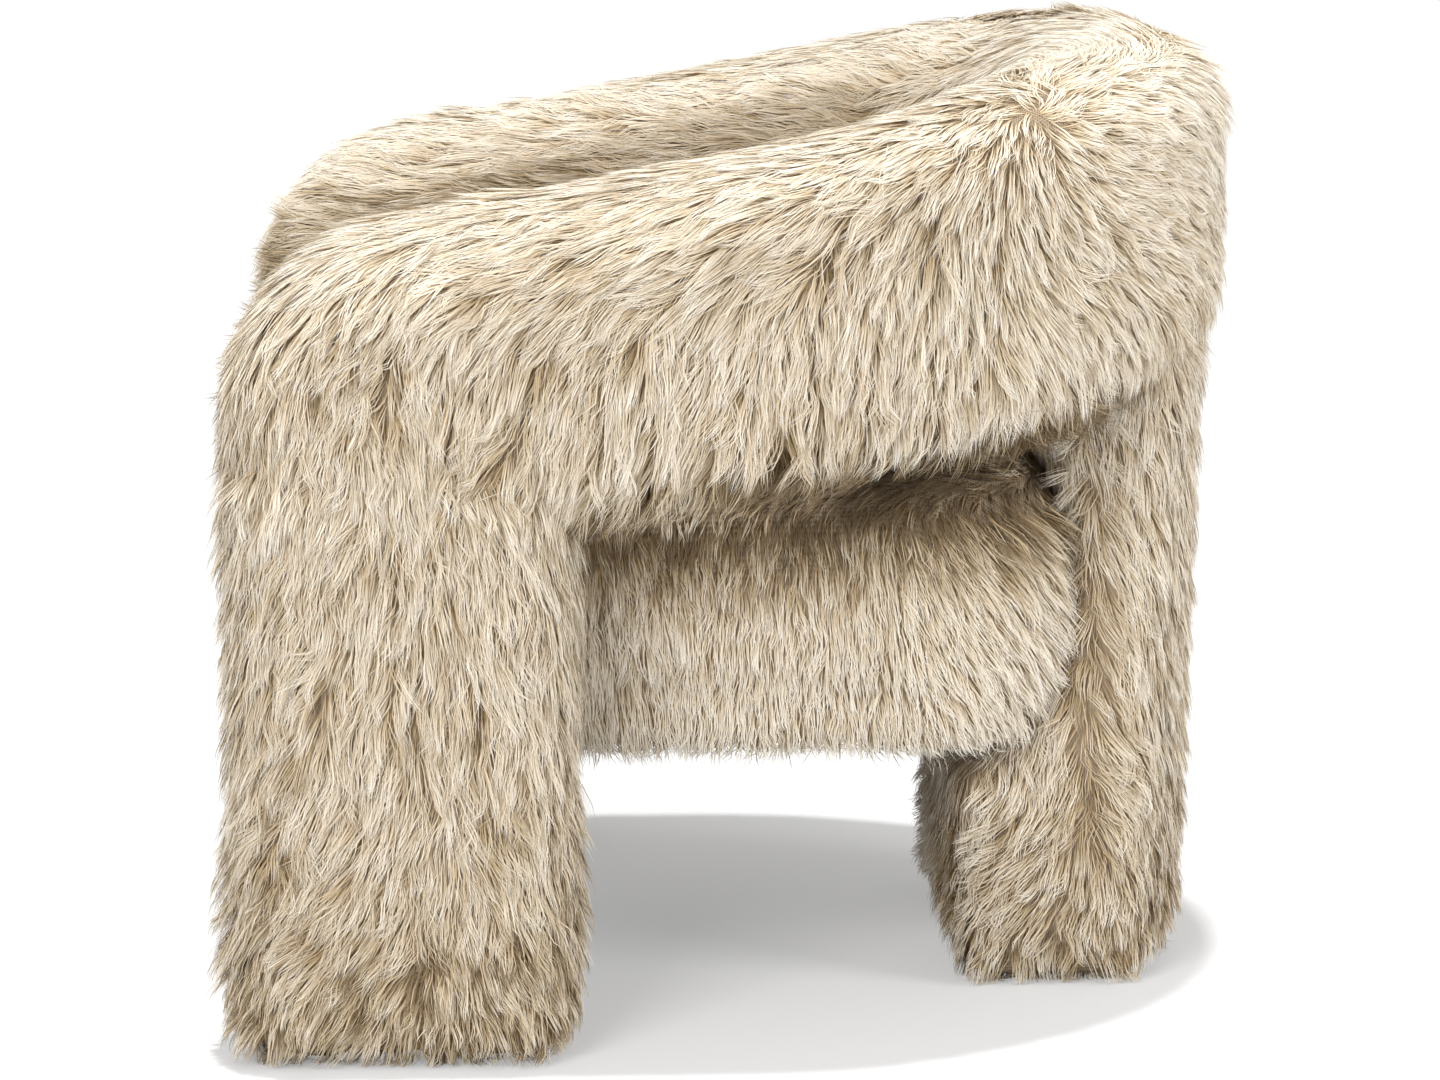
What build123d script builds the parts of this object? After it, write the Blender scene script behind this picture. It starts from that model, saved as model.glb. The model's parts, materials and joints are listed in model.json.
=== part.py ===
"""Three-legged tub armchair with a long-pile cover, built up as it is on the bench.

One rounded band makes both arms and the back. It stands on two slab legs at the front,
flush with the arm ends, and on one block leg at the back. A thick seat drum sits between
them. Every upholstered form is a set of nested layers: the pile cover outside, foam under
it, and a plywood frame at the core.

Frame: +Z up, the chair faces -Y, +X is the sitter's left, and the origin is on the floor
under the middle of the chair. Lengths are in millimetres, angles in degrees.
"""

import os
from math import cos, radians, sin, tan

from build123d import *

# ---------------------------------------------------------------- arm and back band
overall_width = 760.0
overall_depth = 748.0
back_height = 716.0
arm_thickness = 145.0
back_thickness = 178.0
arm_front_height = 585.0
band_crest_set_in = 92.409
band_front_underside = 335.0
band_underside_slope = 10.8
band_front_rounding = 110.0
band_crest_rounding = 400.0
band_toe_rounding = 65.0
band_rounding = 55.0
arm_end_overlap = 30.0

# ---------------------------------------------------------------- legs
front_leg_depth = 258.0
front_leg_top = 450.0
front_leg_set_in = 0.5
front_leg_corner_radius = 52.0
rear_leg_width = 350.0
rear_leg_depth = 206.0
rear_leg_set_in = 14.0
rear_leg_lean = 13.0
rear_leg_band_overlap = 42.3114
rear_leg_corner_radius = 62.0
leg_foot_rounding = 20.0
leg_floor_clearance = 4.0

# ---------------------------------------------------------------- seat drum
seat_front_set_back = 20.0
seat_rear_set_in = 112.0
seat_underside = 186.0
seat_top = 412.0
seat_front_corner_radius = 95.0
seat_rear_corner_radius = 150.0
seat_top_rounding = 80.0
seat_underside_rounding = 45.0

# ---------------------------------------------------------------- soft layers
cover_thickness = 28.0
band_foam_thickness = 20.0
leg_foam_thickness = 18.0
seat_cover_thickness = 22.0
seat_foam_thickness = 18.0
shelf_cover_thickness = 10.0
seat_hem_width = 22.0
soft_clearance = 0.3
cloth_thickness = 1.5

# ---------------------------------------------------------------- timber
band_rail_thickness = 22.0
bent_panel_thickness = 5.0
rib_thickness = 18.0
arm_rib_spacing = 150.0
arm_ribs_per_side = 2
back_rib_count = 7
back_rib_spread = 144.0
leg_wall_thickness = 15.0
leg_base_thickness = 15.0
leg_base_height = 12.0
leg_top_block_height = 60.0
seat_frame_height = 60.0
seat_frame_width = 40.0
side_bearer_depth = 110.0
side_bearer_height = 44.0
rear_bearer_width = 220.0
rear_bearer_depth = 44.0

# ---------------------------------------------------------------- springs and fittings
spring_count = 5
spring_spacing = 55.0
spring_wire_radius = 1.9
spring_loop_width = 40.0
spring_loop_pitch = 24.0
spring_front_bar_inset = 18.0
spring_rear_bar_inset = 30.0
spring_slot_clearance = 0.1
clip_length = 18.0
clip_width = 14.0
clip_thickness = 6.0
glide_radius = 18.0
glide_stem_radius = 4.0
glide_stem_length = 10.0
front_glide_spacing = 120.0
rear_glide_spacing_x = 150.0
rear_glide_spacing_y = 70.0
bolt_radius = 4.0
bolt_head_radius = 7.0
bolt_head_thickness = 5.0
bolt_grip = 30.0
side_bolt_spacing = 46.0
rear_bolt_spacing = 55.0
rear_bolt_grip = 60.0
front_rail_screw_spacing = 80.0
rear_rail_screw_spacing = 90.0
rear_rail_screw_set_back = 18.0
rail_screw_length = 62.0

# ---------------------------------------------------------------- worked-out places
front_y = -overall_depth / 2
back_y = overall_depth / 2
outer_radius = overall_width / 2
outer_bend_y = back_y - outer_radius
inner_radius = outer_radius - arm_thickness
inner_bend_y = back_y - back_thickness - inner_radius
arm_split_y = min(inner_bend_y, outer_bend_y) - arm_end_overlap
arm_centre_x = outer_radius - arm_thickness / 2
band_core_inset = cover_thickness + band_foam_thickness
band_rail_inset = band_core_inset + band_rail_thickness
underside_rise = tan(radians(band_underside_slope))
core_underside_lift = band_core_inset / cos(radians(band_underside_slope))
profile_overrun = overall_depth / 4

front_leg_centre_y = front_y + front_leg_depth / 2
rear_leg_back_y = back_y - rear_leg_set_in
rear_leg_front_y = rear_leg_back_y - rear_leg_depth
rear_leg_top = band_front_underside + overall_depth * underside_rise + rear_leg_band_overlap
leg_core_inset = cover_thickness + leg_foam_thickness
leg_hollow_inset = leg_core_inset + leg_wall_thickness
leg_core_bottom = leg_base_height + leg_base_thickness

seat_front_y = front_y + seat_front_set_back
seat_rear_y = back_y - seat_rear_set_in
seat_depth = seat_rear_y - seat_front_y
seat_half_width = inner_radius - soft_clearance
seat_core_inset = seat_cover_thickness + seat_foam_thickness
seat_opening_inset = seat_core_inset + seat_frame_width
dust_cover_bottom = seat_underside + seat_cover_thickness
seat_frame_bottom = dust_cover_bottom + cloth_thickness
seat_frame_top = seat_frame_bottom + seat_frame_height
seat_frame_middle = seat_frame_bottom + seat_frame_height / 2
deck_bottom = seat_frame_top + clip_thickness
deck_top = deck_bottom + cloth_thickness
seat_side_x = seat_half_width - seat_core_inset

leg_wall_x = inner_radius + leg_core_inset
side_bearer_y = front_leg_centre_y + front_leg_depth / 2 - cover_thickness - side_bearer_depth / 2
rear_bearer_y = rear_leg_front_y + leg_core_inset + leg_wall_thickness / 2
rear_shelf_height = seat_underside - soft_clearance - shelf_cover_thickness


def underside_height(y):
    """Height of the band's underside at depth y."""
    return band_front_underside + (y - front_y) * underside_rise


def save(piece, name):
    """Name one finished piece and write it."""
    piece.part.label = name
    export_step(piece.part, f"parts/{name}.step")


# ---------------------------------------------------------------- forms of the band
def band_profile(inset):
    """Side view of the band: sloping underside, round front, and a top that climbs to the back."""
    crest_y = back_y - band_crest_set_in
    far_y = back_y + profile_overrun
    with BuildSketch(Plane.YZ) as profile:
        with BuildLine():
            FilletPolyline((far_y, underside_height(far_y)), (front_y, underside_height(front_y)),
                           (front_y, arm_front_height), (crest_y, back_height), (far_y, back_height),
                           radius=(band_toe_rounding, band_front_rounding, band_crest_rounding))
            Line((far_y, back_height), (far_y, underside_height(far_y)))
        make_face()
        if inset:
            offset(amount=-inset)
    return profile.sketch


def runs_along(edge):
    """Whether an edge follows the band round, and isn't a seam or an end across it."""
    start_y = edge.position_at(0).Y
    return max(abs(edge.position_at(t).Y - start_y) for t in (0.5, 1.0)) > 1.0


def band_arms(side_inset, rim_inset, rounding):
    """Both straight arms, as far back as the bend."""
    with BuildPart() as arms:
        extrude(band_profile(rim_inset), amount=outer_radius - side_inset, dir=(1, 0, 0))
        with BuildSketch(Plane.XY):
            with Locations((arm_centre_x, (front_y + arm_split_y) / 2)):
                Rectangle(arm_thickness - 2 * side_inset, arm_split_y - front_y)
        extrude(amount=back_height, mode=Mode.INTERSECT)
        if rounding > 0:
            side_edges = arms.faces().filter_by(Axis.X).edges()
            fillet(side_edges.filter_by(lambda edge: edge.center().Y < arm_split_y - 1), radius=rounding)
        mirror(about=Plane.YZ)
    return arms.part


def band_bend(side_inset, rim_inset, rounding):
    """The half-round back between the arms."""
    outer = outer_radius - side_inset
    inner = inner_radius + side_inset
    with BuildPart() as bend:
        with BuildSketch(Plane.XY):
            with BuildLine():
                Line((outer, arm_split_y), (outer, outer_bend_y))
                ThreePointArc((outer, outer_bend_y), (0, outer_bend_y + outer), (-outer, outer_bend_y))
                Polyline((-outer, outer_bend_y), (-outer, arm_split_y), (-inner, arm_split_y),
                         (-inner, inner_bend_y))
                ThreePointArc((-inner, inner_bend_y), (0, inner_bend_y + inner), (inner, inner_bend_y))
                Polyline((inner, inner_bend_y), (inner, arm_split_y), (outer, arm_split_y))
            make_face()
        extrude(amount=back_height)
        extrude(band_profile(rim_inset), amount=outer_radius, dir=(1, 0, 0), both=True,
                mode=Mode.INTERSECT)
        if rounding > 0:
            level_faces = bend.faces().filter_by(lambda face: abs(face.normal_at().Z) > 0.5)
            fillet(level_faces.edges().filter_by(runs_along), radius=rounding)
    return bend.part


def band_body(side_inset, rim_inset, rounding=0.0):
    """The whole band, drawn in at its sides and at its top and bottom rims."""
    with BuildPart() as body:
        add(band_arms(side_inset, rim_inset, rounding))
        add(band_bend(side_inset, rim_inset, rounding))
    return body.part


def under_core(drop=0.0):
    """Everything below the underside of the band's core, less a drop."""
    low_y = front_y - profile_overrun
    high_y = back_y + profile_overrun
    lift = core_underside_lift - drop
    with BuildPart() as space:
        with BuildSketch(Plane.YZ):
            with BuildLine():
                Polyline((low_y, 0), (high_y, 0), (high_y, underside_height(high_y) + lift),
                         (low_y, underside_height(low_y) + lift), close=True)
            make_face()
        extrude(amount=outer_radius, both=True)
    return space.part


# ---------------------------------------------------------------- forms of the seat
def seat_plan(inset, height):
    """Plan of the seat drum at a height: square between the legs, round towards the back."""
    middle_y = (seat_front_y + seat_rear_y) / 2
    with BuildSketch(Plane.XY.offset(height)) as plan:
        with Locations((0, middle_y)):
            Rectangle(2 * (seat_half_width - inset), seat_depth - 2 * inset)
        corners = plan.vertices().group_by(Axis.Y)
        fillet(corners[0], radius=seat_front_corner_radius - inset)
        fillet(plan.vertices().group_by(Axis.Y)[-1], radius=seat_rear_corner_radius - inset)
    return plan.sketch


def seat_slab(inset, bottom, top):
    """The seat's plan as an upright slab between two heights."""
    with BuildPart() as slab:
        extrude(seat_plan(inset, bottom), amount=top - bottom, dir=(0, 0, 1))
    return slab.part


def seat_body(inset):
    """The whole seat drum, drawn in by the inset on every side."""
    with BuildPart() as body:
        add(seat_slab(inset, seat_underside + inset, seat_top - inset))
        fillet(body.faces().sort_by(Axis.Z)[-1].edges(), radius=seat_top_rounding - inset)
        fillet(body.faces().sort_by(Axis.Z)[0].edges(), radius=seat_underside_rounding - inset)
    return body.part


def seat_space(clearance):
    """Room that the rear leg leaves for the seat, open at the top."""
    with BuildPart() as space:
        add(seat_body(-clearance))
        add(seat_slab(-clearance, (seat_underside + seat_top) / 2, rear_leg_top))
    return space.part


# ---------------------------------------------------------------- forms of the legs
def front_leg_form(side, inset, bottom):
    """One front leg as an upright slab, flush with the arm end above it."""
    drawn_in = max(inset, front_leg_set_in)
    width = arm_thickness - 2 * drawn_in
    depth = front_leg_depth - 2 * drawn_in
    with BuildPart() as form:
        with BuildSketch(Plane.XY.offset(bottom)):
            with Locations((side * arm_centre_x, front_leg_centre_y)):
                if front_leg_corner_radius > drawn_in:
                    RectangleRounded(width, depth, radius=front_leg_corner_radius - drawn_in)
                else:
                    Rectangle(width, depth)
        extrude(amount=front_leg_top - bottom)
    return form.part


def rear_leg_plan(inset, height):
    """Plan of the rear leg at a height, with its back bent like the band."""
    lean = rear_leg_lean * (1 - height / rear_leg_top)
    depth = rear_leg_depth + rear_leg_set_in - inset
    with BuildSketch(Plane.XY.offset(height)) as plan:
        with Locations((0, back_y - depth / 2)):
            Rectangle(rear_leg_width - 2 * inset, depth)
        with Locations((0, outer_bend_y - lean)):
            Circle(outer_radius - rear_leg_set_in - inset, mode=Mode.INTERSECT)
        if rear_leg_corner_radius > inset:
            fillet(plan.vertices(), radius=rear_leg_corner_radius - inset)
    return plan.sketch


def rear_leg_form(inset, bottom):
    """The rear leg as one upright block."""
    with BuildPart() as form:
        loft([rear_leg_plan(inset, bottom).face(), rear_leg_plan(inset, rear_leg_top).face()])
    return form.part


def front_leg_core(side, inset, bottom):
    """Inside of a front leg, up to the underside of the band's core."""
    with BuildPart() as core:
        add(front_leg_form(side, inset, bottom))
        add(under_core(), mode=Mode.INTERSECT)
    return core.part


def rear_leg_core(inset, bottom):
    """Inside of the rear leg, stepped to carry the seat, up to the underside of the band's core."""
    with BuildPart() as core:
        add(rear_leg_form(inset, bottom))
        add(under_core(), mode=Mode.INTERSECT)
        add(seat_space(soft_clearance + shelf_cover_thickness), mode=Mode.SUBTRACT)
    return core.part


# ---------------------------------------------------------------- fasteners
def fastener(place, length):
    """A screw or bolt whose head sits on the place and whose shank runs down its -Z."""
    with BuildPart() as screw:
        with BuildSketch(place):
            Circle(bolt_head_radius)
        extrude(amount=bolt_head_thickness)
        with BuildSketch(place):
            Circle(bolt_radius)
        extrude(amount=-length)
    return screw.part


def rail_screw_place(x, y):
    """Where a screw's head sits on top of the band's bottom rail."""
    slope = radians(band_underside_slope)
    lift = band_rail_inset / cos(slope)
    return Plane(origin=(x, y, underside_height(y) + lift), x_dir=(1, 0, 0),
                 z_dir=(0, -sin(slope), cos(slope)))


os.makedirs("parts", exist_ok=True)

rear_leg_screw_y = seat_rear_y + rear_rail_screw_set_back
rail_screw_places = [rail_screw_place(side * arm_centre_x, front_leg_centre_y + step)
                     for side in (1, -1)
                     for step in (-front_rail_screw_spacing / 2, front_rail_screw_spacing / 2)]
rail_screw_places += [rail_screw_place(x, rear_leg_screw_y)
                      for x in (-rear_rail_screw_spacing / 2, rear_rail_screw_spacing / 2)]

with BuildPart() as rail_screws:
    for place in rail_screw_places:
        add(fastener(place, rail_screw_length))
save(rail_screws, "rail_screws")

# Bolts that clamp the seat frame to the front legs, through a bearer block on each side.
side_bolt_length = leg_wall_x + leg_wall_thickness - seat_side_x + bolt_grip
with BuildPart() as seat_side_bolts:
    for side in (1, -1):
        for step in (-side_bolt_spacing / 2, side_bolt_spacing / 2):
            add(fastener(Plane(origin=(side * (leg_wall_x + leg_wall_thickness), side_bearer_y + step,
                                       seat_frame_middle), z_dir=(side, 0, 0)), side_bolt_length))
save(seat_side_bolts, "seat_side_bolts")

# Coach screws that pin the back of the seat frame down to the front wall of the rear leg.
rear_bolt_length = seat_frame_top - rear_shelf_height + rear_bolt_grip
with BuildPart() as seat_rear_bolts:
    for step in (-rear_bolt_spacing / 2, rear_bolt_spacing / 2):
        add(fastener(Plane(origin=(step, rear_bearer_y, seat_frame_top)), rear_bolt_length))
save(seat_rear_bolts, "seat_rear_bolts")

# ---------------------------------------------------------------- bearer blocks
with BuildPart() as seat_side_bearers:
    for side in (1, -1):
        with BuildSketch(Plane.XY.offset(seat_frame_middle - side_bearer_height / 2)):
            with Locations((side * (leg_wall_x + seat_side_x) / 2, side_bearer_y)):
                Rectangle(leg_wall_x - seat_side_x, side_bearer_depth)
        extrude(amount=side_bearer_height)
    side_bearer_space = seat_side_bearers.part
    add(seat_side_bolts.part, mode=Mode.SUBTRACT)
save(seat_side_bearers, "seat_side_bearers")

with BuildPart() as seat_rear_bearer:
    with BuildSketch(Plane.XY.offset(rear_shelf_height)):
        with Locations((0, rear_bearer_y)):
            Rectangle(rear_bearer_width, rear_bearer_depth)
    extrude(amount=seat_frame_bottom - rear_shelf_height)
    rear_bearer_space = seat_rear_bearer.part
    add(seat_rear_bolts.part, mode=Mode.SUBTRACT)
save(seat_rear_bearer, "seat_rear_bearer")

# ---------------------------------------------------------------- front legs
leg_cores = {}
for side, side_name in ((1, "left"), (-1, "right")):
    leg_cores[side_name] = front_leg_core(side, cover_thickness, leg_floor_clearance)
    glide_spots = [(side * arm_centre_x, front_leg_centre_y + step)
                   for step in (-front_glide_spacing / 2, front_glide_spacing / 2)]

    with BuildPart() as front_leg_glides:
        with Locations(*glide_spots):
            Cylinder(glide_radius, leg_base_height, align=(Align.CENTER, Align.CENTER, Align.MIN))
            Cylinder(glide_stem_radius, leg_base_height + glide_stem_length,
                     align=(Align.CENTER, Align.CENTER, Align.MIN))
    save(front_leg_glides, f"{side_name}_front_leg_glides")

    with BuildPart() as front_leg_base:
        add(front_leg_form(side, cover_thickness, leg_base_height))
        split(bisect_by=Plane.XY.offset(leg_core_bottom), keep=Keep.BOTTOM)
        add(front_leg_glides.part, mode=Mode.SUBTRACT)
    save(front_leg_base, f"{side_name}_front_leg_base")

    with BuildPart() as front_leg_frame:
        add(front_leg_core(side, leg_core_inset, leg_core_bottom))
        add(front_leg_form(side, leg_hollow_inset, leg_core_bottom), mode=Mode.SUBTRACT)
        add(seat_side_bolts.part, mode=Mode.SUBTRACT)
    save(front_leg_frame, f"{side_name}_front_leg_frame")

    with BuildPart() as front_leg_foam:
        add(front_leg_core(side, cover_thickness, leg_core_bottom))
        add(front_leg_form(side, leg_core_inset, leg_core_bottom), mode=Mode.SUBTRACT)
        add(side_bearer_space, mode=Mode.SUBTRACT)
    save(front_leg_foam, f"{side_name}_front_leg_foam")

    with BuildPart() as front_leg_cover:
        add(front_leg_form(side, 0, leg_floor_clearance))
        fillet(front_leg_cover.faces().sort_by(Axis.Z)[0].edges(), radius=leg_foot_rounding)
        add(leg_cores[side_name], mode=Mode.SUBTRACT)
        add(band_body(0, 0, band_rounding), mode=Mode.SUBTRACT)
        add(side_bearer_space, mode=Mode.SUBTRACT)
    save(front_leg_cover, f"{side_name}_front_leg_cover")

# ---------------------------------------------------------------- rear leg
leg_cores["rear"] = rear_leg_core(cover_thickness, leg_floor_clearance)
rear_glide_y = (rear_leg_front_y + rear_leg_back_y - rear_leg_lean) / 2

with BuildPart() as rear_leg_glides:
    with Locations((0, rear_glide_y)):
        with GridLocations(rear_glide_spacing_x, rear_glide_spacing_y, 2, 2):
            Cylinder(glide_radius, leg_base_height, align=(Align.CENTER, Align.CENTER, Align.MIN))
            Cylinder(glide_stem_radius, leg_base_height + glide_stem_length,
                     align=(Align.CENTER, Align.CENTER, Align.MIN))
save(rear_leg_glides, "rear_leg_glides")

with BuildPart() as rear_leg_base:
    add(rear_leg_form(cover_thickness, leg_base_height))
    split(bisect_by=Plane.XY.offset(leg_core_bottom), keep=Keep.BOTTOM)
    add(rear_leg_glides.part, mode=Mode.SUBTRACT)
save(rear_leg_base, "rear_leg_base")

with BuildPart() as rear_leg_frame:
    add(rear_leg_core(leg_core_inset, leg_core_bottom))
    add(rear_leg_form(leg_hollow_inset, leg_core_bottom), mode=Mode.SUBTRACT)
    add(seat_rear_bolts.part, mode=Mode.SUBTRACT)
    add(rear_bearer_space, mode=Mode.SUBTRACT)
save(rear_leg_frame, "rear_leg_frame")

with BuildPart() as rear_leg_foam:
    add(rear_leg_core(cover_thickness, leg_core_bottom))
    add(rear_leg_form(leg_core_inset, leg_core_bottom), mode=Mode.SUBTRACT)
    add(rear_bearer_space, mode=Mode.SUBTRACT)
save(rear_leg_foam, "rear_leg_foam")

with BuildPart() as rear_leg_cover:
    add(rear_leg_form(0, leg_floor_clearance))
    fillet(rear_leg_cover.faces().sort_by(Axis.Z)[0].edges(), radius=leg_foot_rounding)
    add(leg_cores["rear"], mode=Mode.SUBTRACT)
    add(band_body(0, 0, band_rounding), mode=Mode.SUBTRACT)
    add(seat_space(soft_clearance), mode=Mode.SUBTRACT)
    add(rear_bearer_space, mode=Mode.SUBTRACT)
save(rear_leg_cover, "rear_leg_cover")

# Blocks glued into the top of each leg box, which take the screws from the rail above.
with BuildPart() as leg_top_blocks:
    for side in (1, -1):
        add(front_leg_core(side, leg_hollow_inset, leg_core_bottom))
    add(rear_leg_core(leg_hollow_inset, leg_core_bottom))
    add(under_core(leg_top_block_height), mode=Mode.SUBTRACT)
    add(rail_screws.part, mode=Mode.SUBTRACT)
save(leg_top_blocks, "leg_top_blocks")

# ---------------------------------------------------------------- band: cover and foam
with BuildPart() as arm_and_back_cover:
    add(band_body(0, 0, band_rounding))
    add(band_body(cover_thickness, cover_thickness, band_rounding - cover_thickness), mode=Mode.SUBTRACT)
    for core in leg_cores.values():
        add(core, mode=Mode.SUBTRACT)
save(arm_and_back_cover, "arm_and_back_cover")

with BuildPart() as arm_and_back_foam:
    add(band_body(cover_thickness, cover_thickness, band_rounding - cover_thickness))
    add(band_body(band_core_inset, band_core_inset), mode=Mode.SUBTRACT)
    for core in leg_cores.values():
        add(core, mode=Mode.SUBTRACT)
save(arm_and_back_foam, "arm_and_back_foam")

# ---------------------------------------------------------------- band: frame
with BuildPart() as band_rim:
    add(band_body(band_core_inset, band_core_inset))
    add(band_body(band_core_inset, band_rail_inset), mode=Mode.SUBTRACT)
post_plane = Plane.XZ.offset(-front_y - band_rail_inset)

with BuildPart() as arm_front_posts:
    add(band_rim.part)
    split(bisect_by=post_plane, keep=Keep.TOP)
save(arm_front_posts, "arm_front_posts")

with BuildPart() as rails:
    add(band_rim.part)
    split(bisect_by=post_plane, keep=Keep.BOTTOM)

with BuildPart() as arm_and_back_top_rail:
    add(rails.part.solids().sort_by(Axis.Z)[-1])
save(arm_and_back_top_rail, "arm_and_back_top_rail")

with BuildPart() as arm_and_back_bottom_rail:
    add(rails.part.solids().sort_by(Axis.Z)[0])
    add(rail_screws.part, mode=Mode.SUBTRACT)
save(arm_and_back_bottom_rail, "arm_and_back_bottom_rail")

with BuildPart() as band_panels:
    add(band_body(band_core_inset, band_rail_inset))
    add(band_body(band_core_inset + bent_panel_thickness, band_rail_inset), mode=Mode.SUBTRACT)
panels = band_panels.part.solids().sort_by(SortBy.VOLUME)

with BuildPart() as arm_and_back_outer_panel:
    add(panels[-1])
save(arm_and_back_outer_panel, "arm_and_back_outer_panel")

with BuildPart() as arm_and_back_inner_panel:
    add(panels[0])
save(arm_and_back_inner_panel, "arm_and_back_inner_panel")

arm_rib_spots = [(0, front_leg_centre_y + arm_rib_spacing * index) for index in range(arm_ribs_per_side)]
with BuildPart() as arm_and_back_ribs:
    with Locations(*arm_rib_spots):
        Box(overall_width, rib_thickness, back_height, align=(Align.CENTER, Align.CENTER, Align.MIN))
    with Locations((0, outer_bend_y)):
        with PolarLocations(0, back_rib_count, start_angle=90 - back_rib_spread / 2,
                            angular_range=back_rib_spread, endpoint=True):
            Box(overall_width, rib_thickness, back_height, align=(Align.MIN, Align.CENTER, Align.MIN))
    add(band_body(band_core_inset + bent_panel_thickness, band_rail_inset), mode=Mode.INTERSECT)
save(arm_and_back_ribs, "arm_and_back_ribs")

# ---------------------------------------------------------------- seat
with BuildPart() as seat_frame:
    add(seat_slab(seat_core_inset, seat_frame_bottom, seat_frame_top))
    add(seat_slab(seat_opening_inset, seat_frame_bottom, seat_frame_top), mode=Mode.SUBTRACT)
    add(seat_side_bolts.part, mode=Mode.SUBTRACT)
    add(seat_rear_bolts.part, mode=Mode.SUBTRACT)
save(seat_frame, "seat_frame")

spring_front_y = seat_front_y + seat_core_inset + spring_front_bar_inset
spring_rear_y = seat_rear_y - seat_core_inset - spring_rear_bar_inset
spring_height = seat_frame_top + spring_wire_radius
spring_slot = 2 * (spring_wire_radius + spring_slot_clearance)
loop_count = int((spring_rear_y - spring_front_y) // spring_loop_pitch)
loop_pitch = (spring_rear_y - spring_front_y) / loop_count
spring_xs = [spring_spacing * (index - (spring_count - 1) / 2) for index in range(spring_count)]


def spring_points(x):
    """Corners of one zigzag spring, from its front bar to its rear bar."""
    points = []
    for index in range(loop_count + 1):
        y = spring_front_y + loop_pitch * index
        ends = (-spring_loop_width / 2, spring_loop_width / 2)
        first, last = ends if index % 2 == 0 else ends[::-1]
        points += [(x + first, y, spring_height), (x + last, y, spring_height)]
    return points


with BuildPart() as seat_springs:
    for x in spring_xs:
        points = spring_points(x)
        with BuildLine():
            wire = FilletPolyline(*points, radius=loop_pitch / 2 - 0.1)
        with BuildSketch(Plane(origin=points[0], z_dir=wire % 0)):
            Circle(spring_wire_radius)
        sweep(path=wire)
save(seat_springs, "seat_springs")

with BuildPart() as seat_spring_clips:
    clip_spots = [(x, y) for x in spring_xs for y in (spring_front_y, spring_rear_y)]
    with Locations(*[(x, y, seat_frame_top) for x, y in clip_spots]):
        Box(clip_width, clip_length, clip_thickness, align=(Align.CENTER, Align.CENTER, Align.MIN))
        Box(clip_width, spring_slot, spring_slot, align=(Align.CENTER, Align.CENTER, Align.MIN),
            mode=Mode.SUBTRACT)
save(seat_spring_clips, "seat_spring_clips")

with BuildPart() as seat_deck_cloth:
    add(seat_slab(seat_core_inset, deck_bottom, deck_top))
save(seat_deck_cloth, "seat_deck_cloth")

with BuildPart() as seat_dust_cover:
    add(seat_slab(seat_core_inset + seat_foam_thickness, dust_cover_bottom, seat_frame_bottom))
    add(rear_bearer_space, mode=Mode.SUBTRACT)
save(seat_dust_cover, "seat_dust_cover")

with BuildPart() as seat_border_foam:
    add(seat_body(seat_cover_thickness))
    add(seat_slab(seat_core_inset, seat_underside, seat_top), mode=Mode.SUBTRACT)
    split(bisect_by=Plane.XY.offset(deck_top), keep=Keep.BOTTOM)
    split(bisect_by=Plane.XY.offset(seat_frame_bottom), keep=Keep.TOP)
    add(side_bearer_space, mode=Mode.SUBTRACT)
save(seat_border_foam, "seat_border_foam")

with BuildPart() as seat_cushion_foam:
    add(seat_body(seat_cover_thickness))
    split(bisect_by=Plane.XY.offset(deck_top), keep=Keep.TOP)
save(seat_cushion_foam, "seat_cushion_foam")

with BuildPart() as seat_cover:
    add(seat_body(0))
    add(seat_body(seat_cover_thickness), mode=Mode.SUBTRACT)
    add(seat_slab(seat_core_inset + seat_foam_thickness + seat_hem_width, seat_underside, seat_frame_top),
        mode=Mode.SUBTRACT)
    add(side_bearer_space, mode=Mode.SUBTRACT)
    add(rear_bearer_space, mode=Mode.SUBTRACT)
save(seat_cover, "seat_cover")
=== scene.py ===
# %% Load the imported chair
import json
import math

import bpy
import numpy as np
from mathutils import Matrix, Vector
from mathutils.bvhtree import BVHTree
from mathutils.kdtree import KDTree


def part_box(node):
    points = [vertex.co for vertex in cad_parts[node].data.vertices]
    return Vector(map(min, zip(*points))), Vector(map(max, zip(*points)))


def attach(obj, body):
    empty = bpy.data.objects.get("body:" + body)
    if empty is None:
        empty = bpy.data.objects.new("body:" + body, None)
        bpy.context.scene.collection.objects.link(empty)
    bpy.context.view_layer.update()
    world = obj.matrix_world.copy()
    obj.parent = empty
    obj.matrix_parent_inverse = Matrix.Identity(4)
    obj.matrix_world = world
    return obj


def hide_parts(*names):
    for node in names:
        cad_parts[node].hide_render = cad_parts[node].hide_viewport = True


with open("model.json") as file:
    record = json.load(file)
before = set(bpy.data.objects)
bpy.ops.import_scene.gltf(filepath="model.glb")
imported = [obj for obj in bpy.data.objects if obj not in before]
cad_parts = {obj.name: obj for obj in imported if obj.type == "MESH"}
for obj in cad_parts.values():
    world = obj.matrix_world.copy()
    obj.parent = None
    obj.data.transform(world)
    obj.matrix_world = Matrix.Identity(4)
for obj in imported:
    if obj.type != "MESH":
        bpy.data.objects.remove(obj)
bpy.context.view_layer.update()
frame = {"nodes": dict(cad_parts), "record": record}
print("CAD nodes:", len(frame["nodes"]))

# %% [markdown]
# The chair is covered all over in long pile, so almost nothing of its frame shows. Everything is built in
# two layers, as on the real chair. First comes the knitted backing stretched over foam, which is a smooth
# padded body. Then the pile is grown on it, strand by strand.
#
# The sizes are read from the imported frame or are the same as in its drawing, in metres.

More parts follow.
